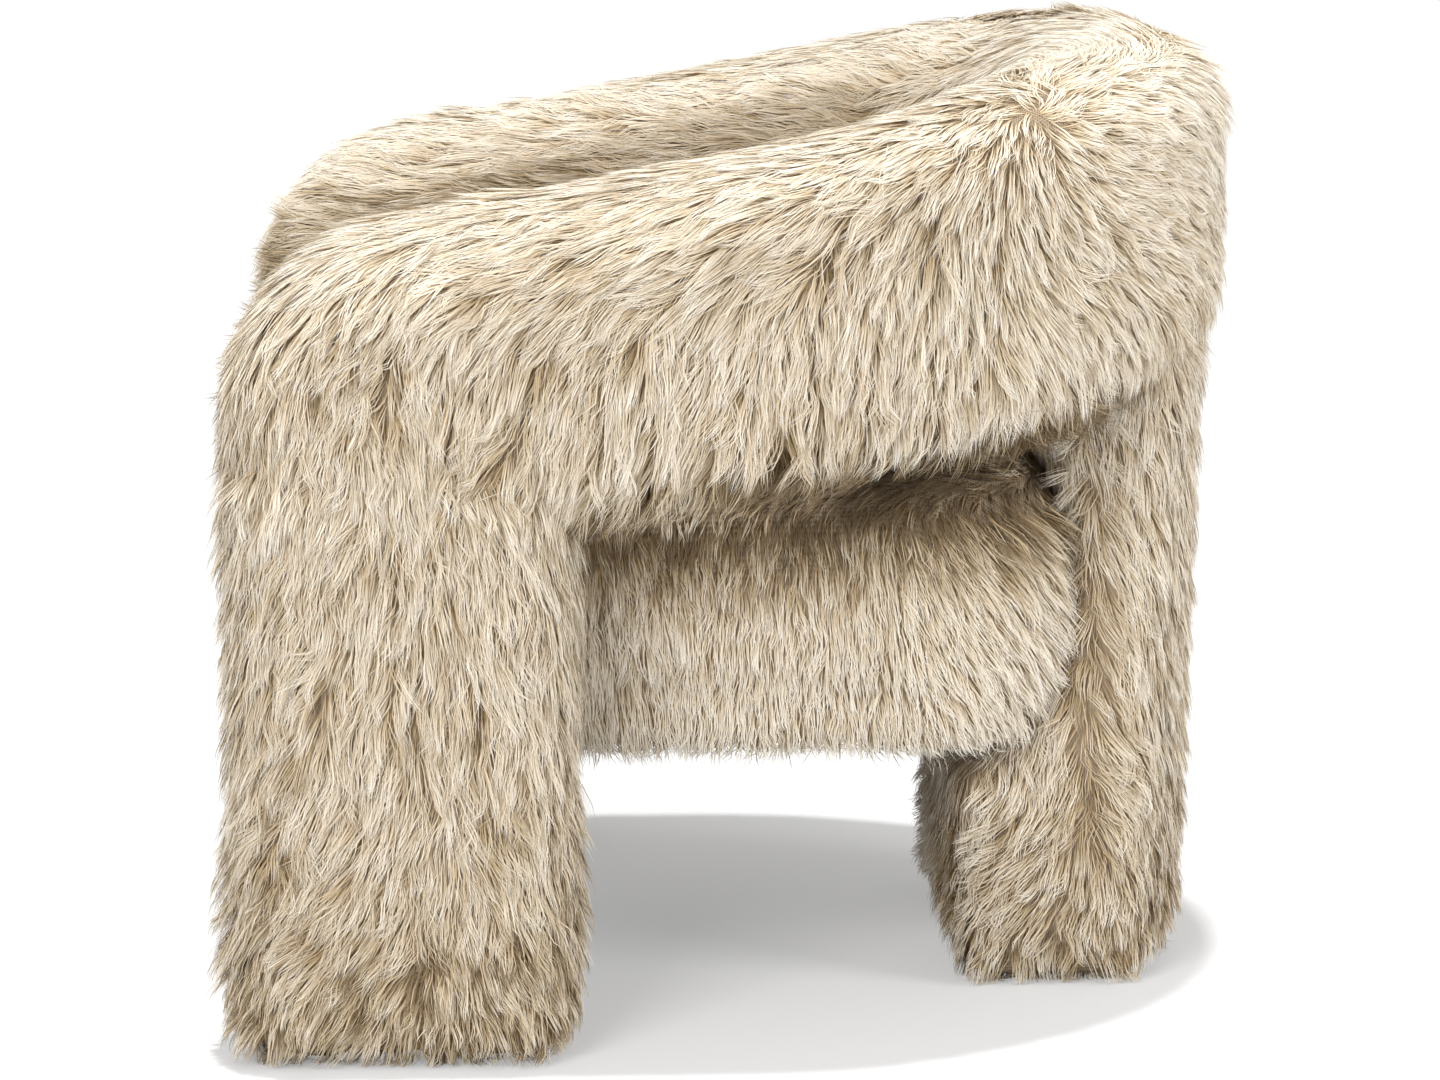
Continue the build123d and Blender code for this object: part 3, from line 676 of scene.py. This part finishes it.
# %% Combing the band
def comb_band(places, normals):
    """Forward along the arms, parted at a crown above each rear corner, and falling on the way down."""
    x, y, z = places.T
    side = np.where(x < 0, -1.0, 1.0)
    turn = np.arctan2(np.maximum(y - OUTER_BEND_Y, 0), np.abs(x))
    forward = np.stack([side * np.sin(turn), -np.cos(turn), np.zeros(len(side))], 1)
    outward = np.stack([side * np.cos(turn), np.sin(turn), np.zeros(len(side))], 1)
    faces_out = (normals * outward).sum(1)
    height = height_on_band(places)

    # the pile goes forward on one side of a split that starts at the crown, and back on the other
    split = CROWN_TURN - 0.9 * np.maximum(CROWN[2] - z, 0)
    arm_pull = 0.22 + 2.2 * fade(height, 0.5, 0.9)
    arm_pull *= 0.4 + 0.6 * fade(y, -0.25, -0.15)
    back_pull = 0.4 + 2.3 * fade(height, 0.15, 0.55)
    pull = np.where(split > turn, arm_pull * np.tanh((split - turn) / 0.30),
                    back_pull * np.tanh((split - turn) / 0.35))
    pull *= 1 - fade(turn, 0.90, 1.5)
    lean_out = (0.15 + 0.5 * fade(turn, 1.0, 1.5)) * (1 - 0.6 * fade(-normals[:, 2], 0.3, 0.7))
    outside = forward * pull[:, None] + outward * lean_out[:, None]
    outside[:, 2] -= 1.0

    # inside it goes forward along the arms and down in the middle of the back
    middle = fade(turn, 0.9, 1.5)
    inside = forward * (1 - 0.9 * middle)[:, None]
    inside[:, 2] += 0.12 - 0.8 * middle - 1.1 * fade(1 - height, 0.35, 0.85)
    share = fade(faces_out, -0.45, 0.05)[:, None]
    flow = outside * share + inside * (1 - share)

    # over the top of the back it comes inwards, and on the arms' ends it falls
    over_top = (0.7 * fade(normals[:, 2], 0.82, 0.98) * fade(turn, 0.80, 1.15))[:, None]
    flow = unit(flow) * (1 - over_top) - outward * over_top
    flow[:, 2] -= np.where(normals[:, 1] < -0.7, 0.8, 0.0)

    # at each crown it turns outwards all round, in a whorl
    for mirror, drop in ((1, 0.0), (-1, RIGHT_CROWN_DROP)):
        away = places - CROWN * np.array([mirror, 1, 1]) + np.array([0, 0, drop])
        near = 0.7 * np.exp(-(away ** 2).sum(1, keepdims=True) / (2 * CROWN_REACH ** 2)) * share
        whorl = unit(away) + 0.6 * mirror * np.cross(normals, unit(away)) + 0.9 * wander(places, 130, 77)
        flow = unit(flow) * (1 - near) + whorl * near
    return flow


# %% [markdown]
# Length, lift and tone also change over the chair. The functions below give three factors for each place:
# how much longer the pile is, how much more it stands up, and how much darker it is. It has painted shade
# under the band and the arms and near the floor, and painted light on the band's top and the back's corners.

# %% Shape of the band's pile
def fringe(places, normals):
    """The pile along the band's lower edge is longest and hangs over it, and on top it lies flat; its tone has
    painted light and shade.
    """
    height, y, up = height_on_band(places), places[:, 1], normals[:, 2]
    low = 1 - fade(height, 0.02, 0.30)
    flat_top = 0.6 * fade(up, 0.2, 0.8)
    below = fade(-up, 0.55, 0.9) * (0.3 + 1.3 * fade(y, 0.10, 0.20))
    crown = np.exp(-((places - CROWN) ** 2).sum(1) / (2 * CROWN_REACH ** 2))
    painted_corner_light = fade(height, 0.45, 0.95) * fade(y, 0.13, 0.27)
    painted_underside_shade = fade(-up, 0.35, 0.9) * fade(y, -0.2, -0.08)
    # painted light on upward faces and on the back's upper corners, painted shade on the band's underside; the
    # crown is a little browner
    darker = 0.06 * crown - 0.18 * painted_corner_light + 0.75 * painted_underside_shade - 0.17 * fade(up, 0.3, 0.8)
    fluffier = (1 - 0.25 * low) * (1 + below) * (1 + 0.5 * crown) * (1 - flat_top)
    return (1 + 0.30 * low) * (1 - 0.45 * crown), fluffier, darker


def inner_fringe(places, normals):
    """As along the outside, with painted shade where the inner faces go down behind the arms."""
    longer, fluffier, darker = fringe(places, normals)
    height = height_on_band(places)
    inward = fade(-outer_face(places, normals), 0.1, 0.6)
    # painted shade on the lower part of the inner faces
    return longer, fluffier, darker + 0.40 * inward * (1 - fade(height, 0.55, 0.88))


# %% Shape of the pile on legs and seat
def foot(places, normals, brushed_forward=0.9):
    """Near the floor the pile is shorter, fluffed up and darker with painted shade."""
    z = places[:, 2]
    low = 1 - fade(z, 0.04, 0.24)
    ahead = fade(-normals[:, 1], 0.3, 0.9)
    longer = (0.80 + 0.20 * fade(z, 0.02, 0.12)) * (1 - 0.15 * low)
    fluffier = 1 + 0.3 * low + brushed_forward * ahead * (0.35 + 0.65 * low)
    # painted shade near the floor
    return longer, fluffier, 0.01 + 0.20 * low


def rear_foot(places, normals):
    """As at the front legs, but shorter, flat on the front of the ledge, and with less painted shade near the
    floor.
    """
    longer, fluffier, darker = foot(places, normals, 0.8)
    ledge_front = fade(-normals[:, 1], 0.3, 0.9) * fade(places[:, 2], 0.06, 0.18)
    # less of the front legs' painted shade near the floor, and a little lighter all over
    return 0.85 * longer, fluffier * (1 - 0.5 * ledge_front), 0.6 * darker - 0.06


def seat_rim(places, normals):
    """Fuller where the seat meets the rear leg, longer at its lower edge, with painted shade along its upper
    rim under the arms.
    """
    x, y, z = places.T
    behind = fade(y, 0.12, 0.24)
    under_arm = fade(np.abs(x), 0.12, 0.20)
    # painted shade along the upper rim, strongest under the arms; painted light on the whole side, more lower
    # down and towards the rear leg
    shaded = (0.20 + 0.75 * under_arm) * fade(z, 0.29, 0.40)
    shaded -= 0.14 + 0.16 * (1 - fade(z, 0.24, 0.33)) + 0.10 * behind
    hem = 1 - fade(z, 0.20, 0.25)
    return 1 + 0.7 * behind + 0.3 * hem, 1 + 1.2 * behind, shaded


def seat_top(places, normals):
    """The flat top has painted shade where the arms hang over its rear corners."""
    under_arm = fade(np.abs(places[:, 0]), 0.10, 0.19) * fade(places[:, 1], -0.06, 0.06)
    # painted shade where the arms overhang
    return np.ones(len(places)), np.ones(len(places)), 0.75 * under_arm


# %% Combing the legs and the seat
def comb_leg(middle, half, splay):
    """Down, and outwards near the foot, where the floor has brushed the pile up."""
    def comb(places, normals):
        out = (places - middle) / half
        z = places[:, 2]
        low = (1 - fade(z, 0.03, 0.24)) * (0.1 + 0.9 * fade(z, 0.01, 0.09))
        flow = np.tanh(1.6 * out) * (0.2 + splay * low)[:, None]
        flow[:, 2] = -1
        return flow
    return comb


def comb_seat(places, normals):
    """Down round the drum, more and more backwards near the rear leg, and forward over its top."""
    on_top = fade(normals[:, 2], 0.35, 0.8)
    out = (places - np.array(seat_middle)) / np.array([0.22, 0.30, 1.0])
    out[:, 2] = 0
    backwards = 0.02 + 0.85 * fade(places[:, 1], 0.08, 0.22)
    down = np.stack([0.05 * out[:, 0], backwards, -np.ones(len(out))], 1)
    top = unit(out) * 0.6 + np.array([0, -0.8, 0])
    return down * (1 - on_top)[:, None] + top * on_top[:, None]


# %% [markdown]
# The pile is grown in nine pieces, each on a part of one backing and each with about the same number of
# strands, so that no single mesh becomes too heavy. The partings are places where the pile falls apart: a
# few small ones on the arms and front legs, and a row of them as the upright crease on the rear leg.

# %% Parts of the backings
OUTWARD = 0.25            # a face is an outer one where it faces outwards at least this much


def band_outside(sign):
    """The outer face of one arm and half of the back."""
    return lambda m, n: ((outer_face(m, n) > OUTWARD) & (m[:, 0] * sign > 0)).astype(float)


def band_rest(sign):
    """The top, inner face and underside of one arm, with less pile under its front, next to the leg."""
    def keep(middles, normals):
        chosen = (outer_face(middles, normals) <= OUTWARD) & (middles[:, 0] * sign > 0)
        beside_leg = (normals[:, 2] < -0.6) & (middles[:, 1] < 0.1)
        return chosen.astype(float) * (1 - 0.6 * beside_leg)
    return keep


def leg_skin(low, high):
    """Everywhere on a leg, but thin under the foot and bare in its recess."""
    inside = foot_inside(low, high)
    return lambda m, n: np.where(n[:, 2] < -0.5, 0.25, 1.0) * ~(inside(m) & (m[:, 2] < BASE_TOP + 0.004))


def seat_skin(middles, normals):
    """The seat's side and underside, thin below and bare in the recess for the dust cover."""
    inside = foot_inside(seat_low, seat_high, BARE_MARGIN)
    bare = inside(middles) & (middles[:, 2] < DUST_COVER_TOP + 0.004)
    return (normals[:, 2] < 0.5) * np.where(normals[:, 2] < -0.5, 0.4, 1.0) * ~bare


# %% Pile of the arms, back and front legs
LONG = 0.042
SHORT = 0.026
STRANDS = 37500
SIDE_X = 0.369            # the chair's flat sides, where the partings below lie
arm_partings = ((-0.2916, 0.360, 0.008), (-0.072, 0.537, 0.010), (0.05, 0.585, 0.007),
                (-0.16, 0.47, 0.008), (0.02, 0.47, 0.007), (-0.25, 0.50, 0.008))
leg_partings = ((-0.295, 0.285, 0.009), (-0.232, 0.093, 0.010), (-0.19, 0.20, 0.007), (-0.33, 0.17, 0.008))
pile_pieces = []
for sign, side, leg in ((1, "left", left_leg), (-1, "right", right_leg)):
    on_arm = [(SIDE_X * sign, y + 0.02 * (sign < 0), z, reach) for y, z, reach in arm_partings]
    on_leg = [(SIDE_X * sign, y, z, reach) for y, z, reach in leg_partings]
    low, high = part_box(f"{side}_front_leg_cover")
    middle = (low + high) / 2 + Vector((0, 0.035, 0))
    comb = comb_leg(np.array(middle), np.array((high - low) / 2), 0.9)
    pile_pieces += [
        grow(f"{side}_outer_arm_pile", band, STRANDS, LONG, comb_band, band_outside(sign), 10 + sign,
             fringe, partings=on_arm),
        grow(f"{side}_inner_arm_pile", band, STRANDS, LONG, comb_band, band_rest(sign), 20 + sign,
             inner_fringe, stray=0.8),
        grow(f"{side}_front_leg_pile", leg, STRANDS, LONG, comb, leg_skin(low, high), 30 + sign,
             foot, lock_size=9, clump=0.5, partings=on_leg)]

# %% Pile of the rear leg and the seat
CREASE_Y = 0.262
comb = comb_leg(np.array([0, CREASE_Y, 0]), np.array([0.17, 0.1, 1]), 1.7)
crease = [(x, CREASE_Y, z, 0.012) for x in (0.165, -0.165) for z in (0.13, 0.17, 0.21, 0.25, 0.29, 0.33, 0.37)]
pile_pieces += [
    grow("rear_leg_pile", rear_leg, STRANDS, LONG, comb, leg_skin(rear_low, rear_high), 40, rear_foot,
         lock_size=9, clump=0.5, partings=crease),
    grow("seat_side_pile", seat, STRANDS, SHORT, comb_seat, seat_skin, 50, seat_rim, lift=(0.25, 0.5),
         lock_size=8, clump=0.38, stray=0.45),
    grow("seat_top_pile", seat, 27000, SHORT, comb_seat, lambda m, n: (n[:, 2] >= 0.5) * 1.0, 51, seat_top,
         lift=(0.25, 0.5), lock_size=9, clump=0.5, stray=0.6)]

# %% [markdown]
# The pile's colour runs from a shaded brown at the root to cream at the tip, and each strand has its own tone,
# with the painted light and shade mixed in. Both come from the strand's UV map: across it lies the tone, along
# it the height on the strand.
#
# The timber, boards, fittings and linings inside are seen only from below, but each gets its own finish.
# What several finishes share is a node group with named sockets, which gives back only colours, values and
# normals. The shader stays in the material.

# %% Helpers for materials
def new_material(name, roughness, metallic=0.0):
    """A material with one Principled shader, and its node tree."""
    material = bpy.data.materials.new(name)
    material.use_nodes = True
    shader = material.node_tree.nodes["Principled BSDF"]
    shader.inputs["Roughness"].default_value = roughness
    shader.inputs["Metallic"].default_value = metallic
    return material, material.node_tree, shader


def add_node(tree, kind, output, inputs, **settings):
    """Add a node, feed its inputs with numbers or other nodes' outputs, and give back one of its outputs."""
    node = tree.nodes.new(f"ShaderNode{kind}")
    for name, value in settings.items():
        setattr(node, name, value)
    for label, value in inputs.items():
        if isinstance(value, bpy.types.NodeSocket):
            tree.links.new(value, node.inputs[label])
        else:
            node.inputs[label].default_value = value
    return None if output is None else node.outputs[output]


def ramp(tree, place, stops):
    """Colours along a ramp with the given (place, colour) stops."""
    colours = add_node(tree, "ValToRGB", "Color", {"Fac": place})
    elements = colours.node.color_ramp.elements
    while len(elements) < len(stops):
        elements.new(0.5)
    for element, (position, colour) in zip(elements, stops):
        element.position = position
        element.color = (*colour, 1)
    return colours


def mixed(tree, factor, first, second, blend_type="MIX"):
    """Two colours mixed by a factor."""
    return add_node(tree, "Mix", "Result", {"Factor": factor, "A": first, "B": second}, data_type="RGBA",
                    blend_type=blend_type)


def noise(tree, vector, scale, detail):
    """Soft random clouds."""
    return add_node(tree, "TexNoise", "Fac", {"Vector": vector, "Scale": scale, "Detail": detail})


def between(tree, value, low, high):
    """A value from 0 to 1 spread between two ends."""
    return add_node(tree, "MapRange", "Result", {"Value": value, "To Min": low, "To Max": high})


def new_pattern(name, inputs):
    """A node group with a vector and the given colours or numbers as inputs, and where they come in."""
    group = bpy.data.node_groups.new(name, "ShaderNodeTree")
    group.interface.new_socket("Vector", in_out="INPUT", socket_type="NodeSocketVector")
    for label, value in inputs.items():
        kind = "Color" if isinstance(value, tuple) else "Float"
        group.interface.new_socket(label, in_out="INPUT", socket_type=f"NodeSocket{kind}").default_value = value
    for label, kind in (("Color", "Color"), ("Roughness", "Float"), ("Normal", "Vector")):
        group.interface.new_socket(label, in_out="OUTPUT", socket_type=f"NodeSocket{kind}")
    return group, group.nodes.new("NodeGroupInput").outputs


def close_pattern(group, color, roughness, height, strength, distance=0.0004):
    """Lead a pattern's colour, roughness and bump to its outputs."""
    normal = add_node(group, "Bump", "Normal", {"Height": height, "Strength": strength, "Distance": distance})
    end = group.nodes.new("NodeGroupOutput")
    for label, value in (("Color", color), ("Roughness", roughness), ("Normal", normal)):
        group.links.new(value, end.inputs[label])
    print("group", group.name, "with", len(group.nodes), "nodes")


# %% Pattern: wood grain
grain, given = new_pattern("wood_grain", {"Early Wood": (0.74, 0.58, 0.39, 1),
                                          "Late Wood": (0.50, 0.34, 0.19, 1), "Rings": 14.0})
rings = add_node(grain, "TexWave", "Fac", {"Vector": given["Vector"], "Scale": given["Rings"],
                                           "Distortion": 7.0, "Detail": 3.0})
fibres = noise(grain, given["Vector"], 260.0, 4.0)
wood = mixed(grain, rings, given["Early Wood"], given["Late Wood"])
streaks = ramp(grain, fibres, [(0.35, (0.78, 0.74, 0.70)), (0.65, (1.0, 1.0, 1.0))])
close_pattern(grain, mixed(grain, 1.0, wood, streaks, "MULTIPLY"), between(grain, rings, 0.55, 0.8),
              fibres, 0.5)

# %% Pattern: handled surface, for metal and plastic
wear, given = new_pattern("handled_surface", {"Base": (0.7, 0.7, 0.7, 1), "Rubbed": (0.8, 0.8, 0.8, 1),
                                              "Scale": 60.0, "Smoothest": 0.3, "Roughest": 0.5})
clouds = noise(wear, given["Vector"], given["Scale"], 3.0)
specks = noise(wear, given["Vector"], 900.0, 2.0)
worn = ramp(wear, clouds, [(0.42, (0, 0, 0)), (0.64, (1, 1, 1))])
close_pattern(wear, mixed(wear, worn, given["Base"], given["Rubbed"]),
              between(wear, clouds, given["Smoothest"], given["Roughest"]), specks, 0.25, 0.0002)

# %% Pattern: cloth of fine threads
threads, given = new_pattern("fine_threads", {"Thread": (0.3, 0.3, 0.3, 1), "Gap": (0.1, 0.1, 0.1, 1),
                                              "Threads": 320.0})
rows = [add_node(threads, "TexWave", "Fac", {"Vector": given["Vector"], "Scale": given["Threads"],
                                             "Distortion": 1.2}, bands_direction=direction)
        for direction in ("X", "Y")]
crossed = add_node(threads, "Math", 0, {0: rows[0], 1: rows[1]}, operation="MAXIMUM")
close_pattern(threads, mixed(threads, crossed, given["Gap"], given["Thread"]),
              between(threads, crossed, 0.95, 0.82), crossed, 0.6)


# %% Materials from the patterns
def patterned(name, group, settings, stretch=(1, 1, 1), metallic=0.0):
    """A material whose colour, roughness and bump come from one pattern in the object's own space."""
    material, tree, shader = new_material(name, 0.5, metallic)
    coords = add_node(tree, "TexCoord", "Object", {})
    scaled = add_node(tree, "Mapping", "Vector", {"Vector": coords, "Scale": stretch})
    pattern = add_node(tree, "Group", 0, {"Vector": scaled, **settings}, node_tree=group).node
    for given, taken in (("Color", "Base Color"), ("Roughness", "Roughness"), ("Normal", "Normal")):
        tree.links.new(pattern.outputs[given], shader.inputs[taken])
    return material


def handled(name, base, rubbed, scale, smoothest, roughest, metallic=0.0):
    """Metal or plastic that is a little lighter where it is rubbed."""
    return patterned(name, wear, {"Base": (*base, 1), "Rubbed": (*rubbed, 1), "Scale": scale,
                                  "Smoothest": smoothest, "Roughest": roughest}, metallic=metallic)


finishes = {
    "timber": patterned("planed_timber", grain, {"Rings": 9.0}, stretch=(1, 0.12, 1)),
    "plywood": patterned("birch_plywood", grain, {"Early Wood": (0.80, 0.67, 0.49, 1),
                                                  "Late Wood": (0.62, 0.46, 0.29, 1), "Rings": 5.0},
                         stretch=(1, 1, 0.15)),
    "plated_steel": handled("plated_steel", (0.62, 0.62, 0.60), (0.80, 0.80, 0.78), 140.0, 0.22, 0.42, 1.0),
    "spring_steel": handled("spring_steel", (0.16, 0.155, 0.15), (0.34, 0.33, 0.32), 90.0, 0.28, 0.5, 1.0),
    "clip_plastic": handled("clip_plastic", (0.035, 0.035, 0.037), (0.07, 0.07, 0.07), 160.0, 0.45, 0.65),
    "glide_plastic": handled("glide_plastic", (0.030, 0.028, 0.026), (0.11, 0.105, 0.10), 70.0, 0.35, 0.7),
    "lining_cloth": patterned("lining_cloth", threads,
                              {"Thread": (0.045, 0.045, 0.048, 1), "Gap": (0.012, 0.012, 0.013, 1),
                               "Threads": 260.0}),
}
for row in frame["record"]["subparts"]:
    if row["material_slot"] in finishes:
        for slot in frame["nodes"][row["node"]].material_slots:
            slot.material = finishes[row["material_slot"]]
print("finishes:", ", ".join(finishes))

# %% Pile material
pile_cloth, tree, shader = new_material("cream_pile", 0.62)
shader.inputs["Specular IOR Level"].default_value = 0.25
strand_uv = add_node(tree, "UVMap", "UV", {}, uv_map="OFBake")
strand_map = add_node(tree, "SeparateXYZ", 0, {0: strand_uv}).node
along = ramp(tree, strand_map.outputs["Y"], [(0.0, (0.50, 0.385, 0.24)), (0.30, (0.75, 0.64, 0.475)),
                                             (0.62, (0.87, 0.80, 0.68)), (1.0, (0.95, 0.925, 0.87))])
# the deep brown at the low end is the colour of the painted shade, and painted light raises the tone towards
# white
tone = ramp(tree, strand_map.outputs["X"], [(0.0, (0.24, 0.18, 0.11)), (0.12, (0.64, 0.54, 0.39)),
                                            (0.5, (0.92, 0.885, 0.83)), (1.0, (1.0, 1.0, 1.0))])
tree.links.new(mixed(tree, 1.0, along, tone, "MULTIPLY"), shader.inputs["Base Color"])
# the knitted backing under the pile, in a dark brown that is partly its own colour and partly painted shade
# deep in the pile
backing_cloth = patterned("knitted_backing", threads,
                          {"Thread": (0.36, 0.275, 0.18, 1), "Gap": (0.15, 0.11, 0.07, 1), "Threads": 180.0})

# %% Materials and parents of the pieces, and the hidden covers
for piece in pile_pieces:
    piece.data.materials.append(pile_cloth)
    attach(piece, "root")
for piece in backings:
    piece.data.materials.clear()
    piece.data.materials.append(backing_cloth)
    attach(piece, "root")
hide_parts("arm_and_back_cover", "arm_and_back_foam")
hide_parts("left_front_leg_cover", "left_front_leg_foam")
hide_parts("right_front_leg_cover", "right_front_leg_foam")
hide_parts("rear_leg_cover", "rear_leg_foam")
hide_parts("seat_cover", "seat_cushion_foam", "seat_border_foam")

# %% Camera
AZIMUTH = math.radians(87.63)
ELEVATION = math.radians(10.80)
DISTANCE = 4.0
AIM = Vector((0, -0.0072, 0.312))
back = Vector((math.sin(AZIMUTH) * math.cos(ELEVATION), -math.cos(AZIMUTH) * math.cos(ELEVATION),
               math.sin(ELEVATION)))
camera_data = bpy.data.cameras.new("camera")
camera_data.sensor_width = 36
camera_data.lens = 130
camera = bpy.data.objects.new("camera", camera_data)
camera.location = AIM + back * DISTANCE
camera.rotation_euler = back.to_track_quat("Z", "Y").to_euler()
scene.collection.objects.link(camera)
scene.camera = camera

# %% Floor, lights and background
clear_selection()
bpy.ops.mesh.primitive_plane_add(size=14, location=(0, 0, 0))
floor = bpy.context.object
floor.name = "floor"
FLOOR_GLOW = 0.32         # only the camera sees it, and it brings the lit floor to white
AMBIENT = 0.45
floor_paint = bpy.data.materials.new("floor_paint")
floor_paint.use_nodes = True
tree = floor_paint.node_tree
tree.nodes.clear()
camera_ray = add_node(tree, "LightPath", "Is Camera Ray", {})
strength = add_node(tree, "Math", 0, {0: camera_ray, 1: FLOOR_GLOW}, operation="MULTIPLY")
diffuse = add_node(tree, "BsdfDiffuse", 0, {"Color": (0.55, 0.55, 0.55, 1)})
glow = add_node(tree, "Emission", 0, {"Strength": strength})
both = add_node(tree, "AddShader", 0, {0: diffuse, 1: glow})
add_node(tree, "OutputMaterial", None, {"Surface": both})
floor.data.materials.append(floor_paint)

world = bpy.data.worlds.new("studio")
scene.world = world
world.use_nodes = True
tree = world.node_tree
tree.nodes.clear()
camera_ray = add_node(tree, "LightPath", "Is Camera Ray", {})
ambient, seen = [add_node(tree, "Background", 0, {"Color": (1, 1, 1, 1), "Strength": strength})
                 for strength in (AMBIENT, 1.0)]
either = add_node(tree, "MixShader", 0, {0: camera_ray, 1: ambient, 2: seen})
add_node(tree, "OutputWorld", None, {"Surface": either})


def lamp(name, kind, place, target, energy, size):
    """A square area lamp, or a sun whose size is its angle, pointed at a target."""
    data = bpy.data.lights.new(name, kind)
    data.energy = energy
    if kind == "AREA":
        data.shape = "SQUARE"
        data.size = size
    else:
        data.angle = size
    obj = bpy.data.objects.new(name, data)
    obj.location = place
    obj.rotation_euler = (Vector(place) - Vector(target)).to_track_quat("Z", "Y").to_euler()
    scene.collection.objects.link(obj)


lamp("top_light", "SUN", (0, 0, 4), (0, 0, 0), 2.7, math.radians(2.5))
lamp("key_light", "AREA", (4.0, -2.0, 2.6), (0, 0, 0.35), 150, 2.0)
lamp("back_light", "AREA", (1.8, 3.2, 1.8), (0, 0, 0.4), 72, 1.5)

scene.view_settings.view_transform = "Standard"
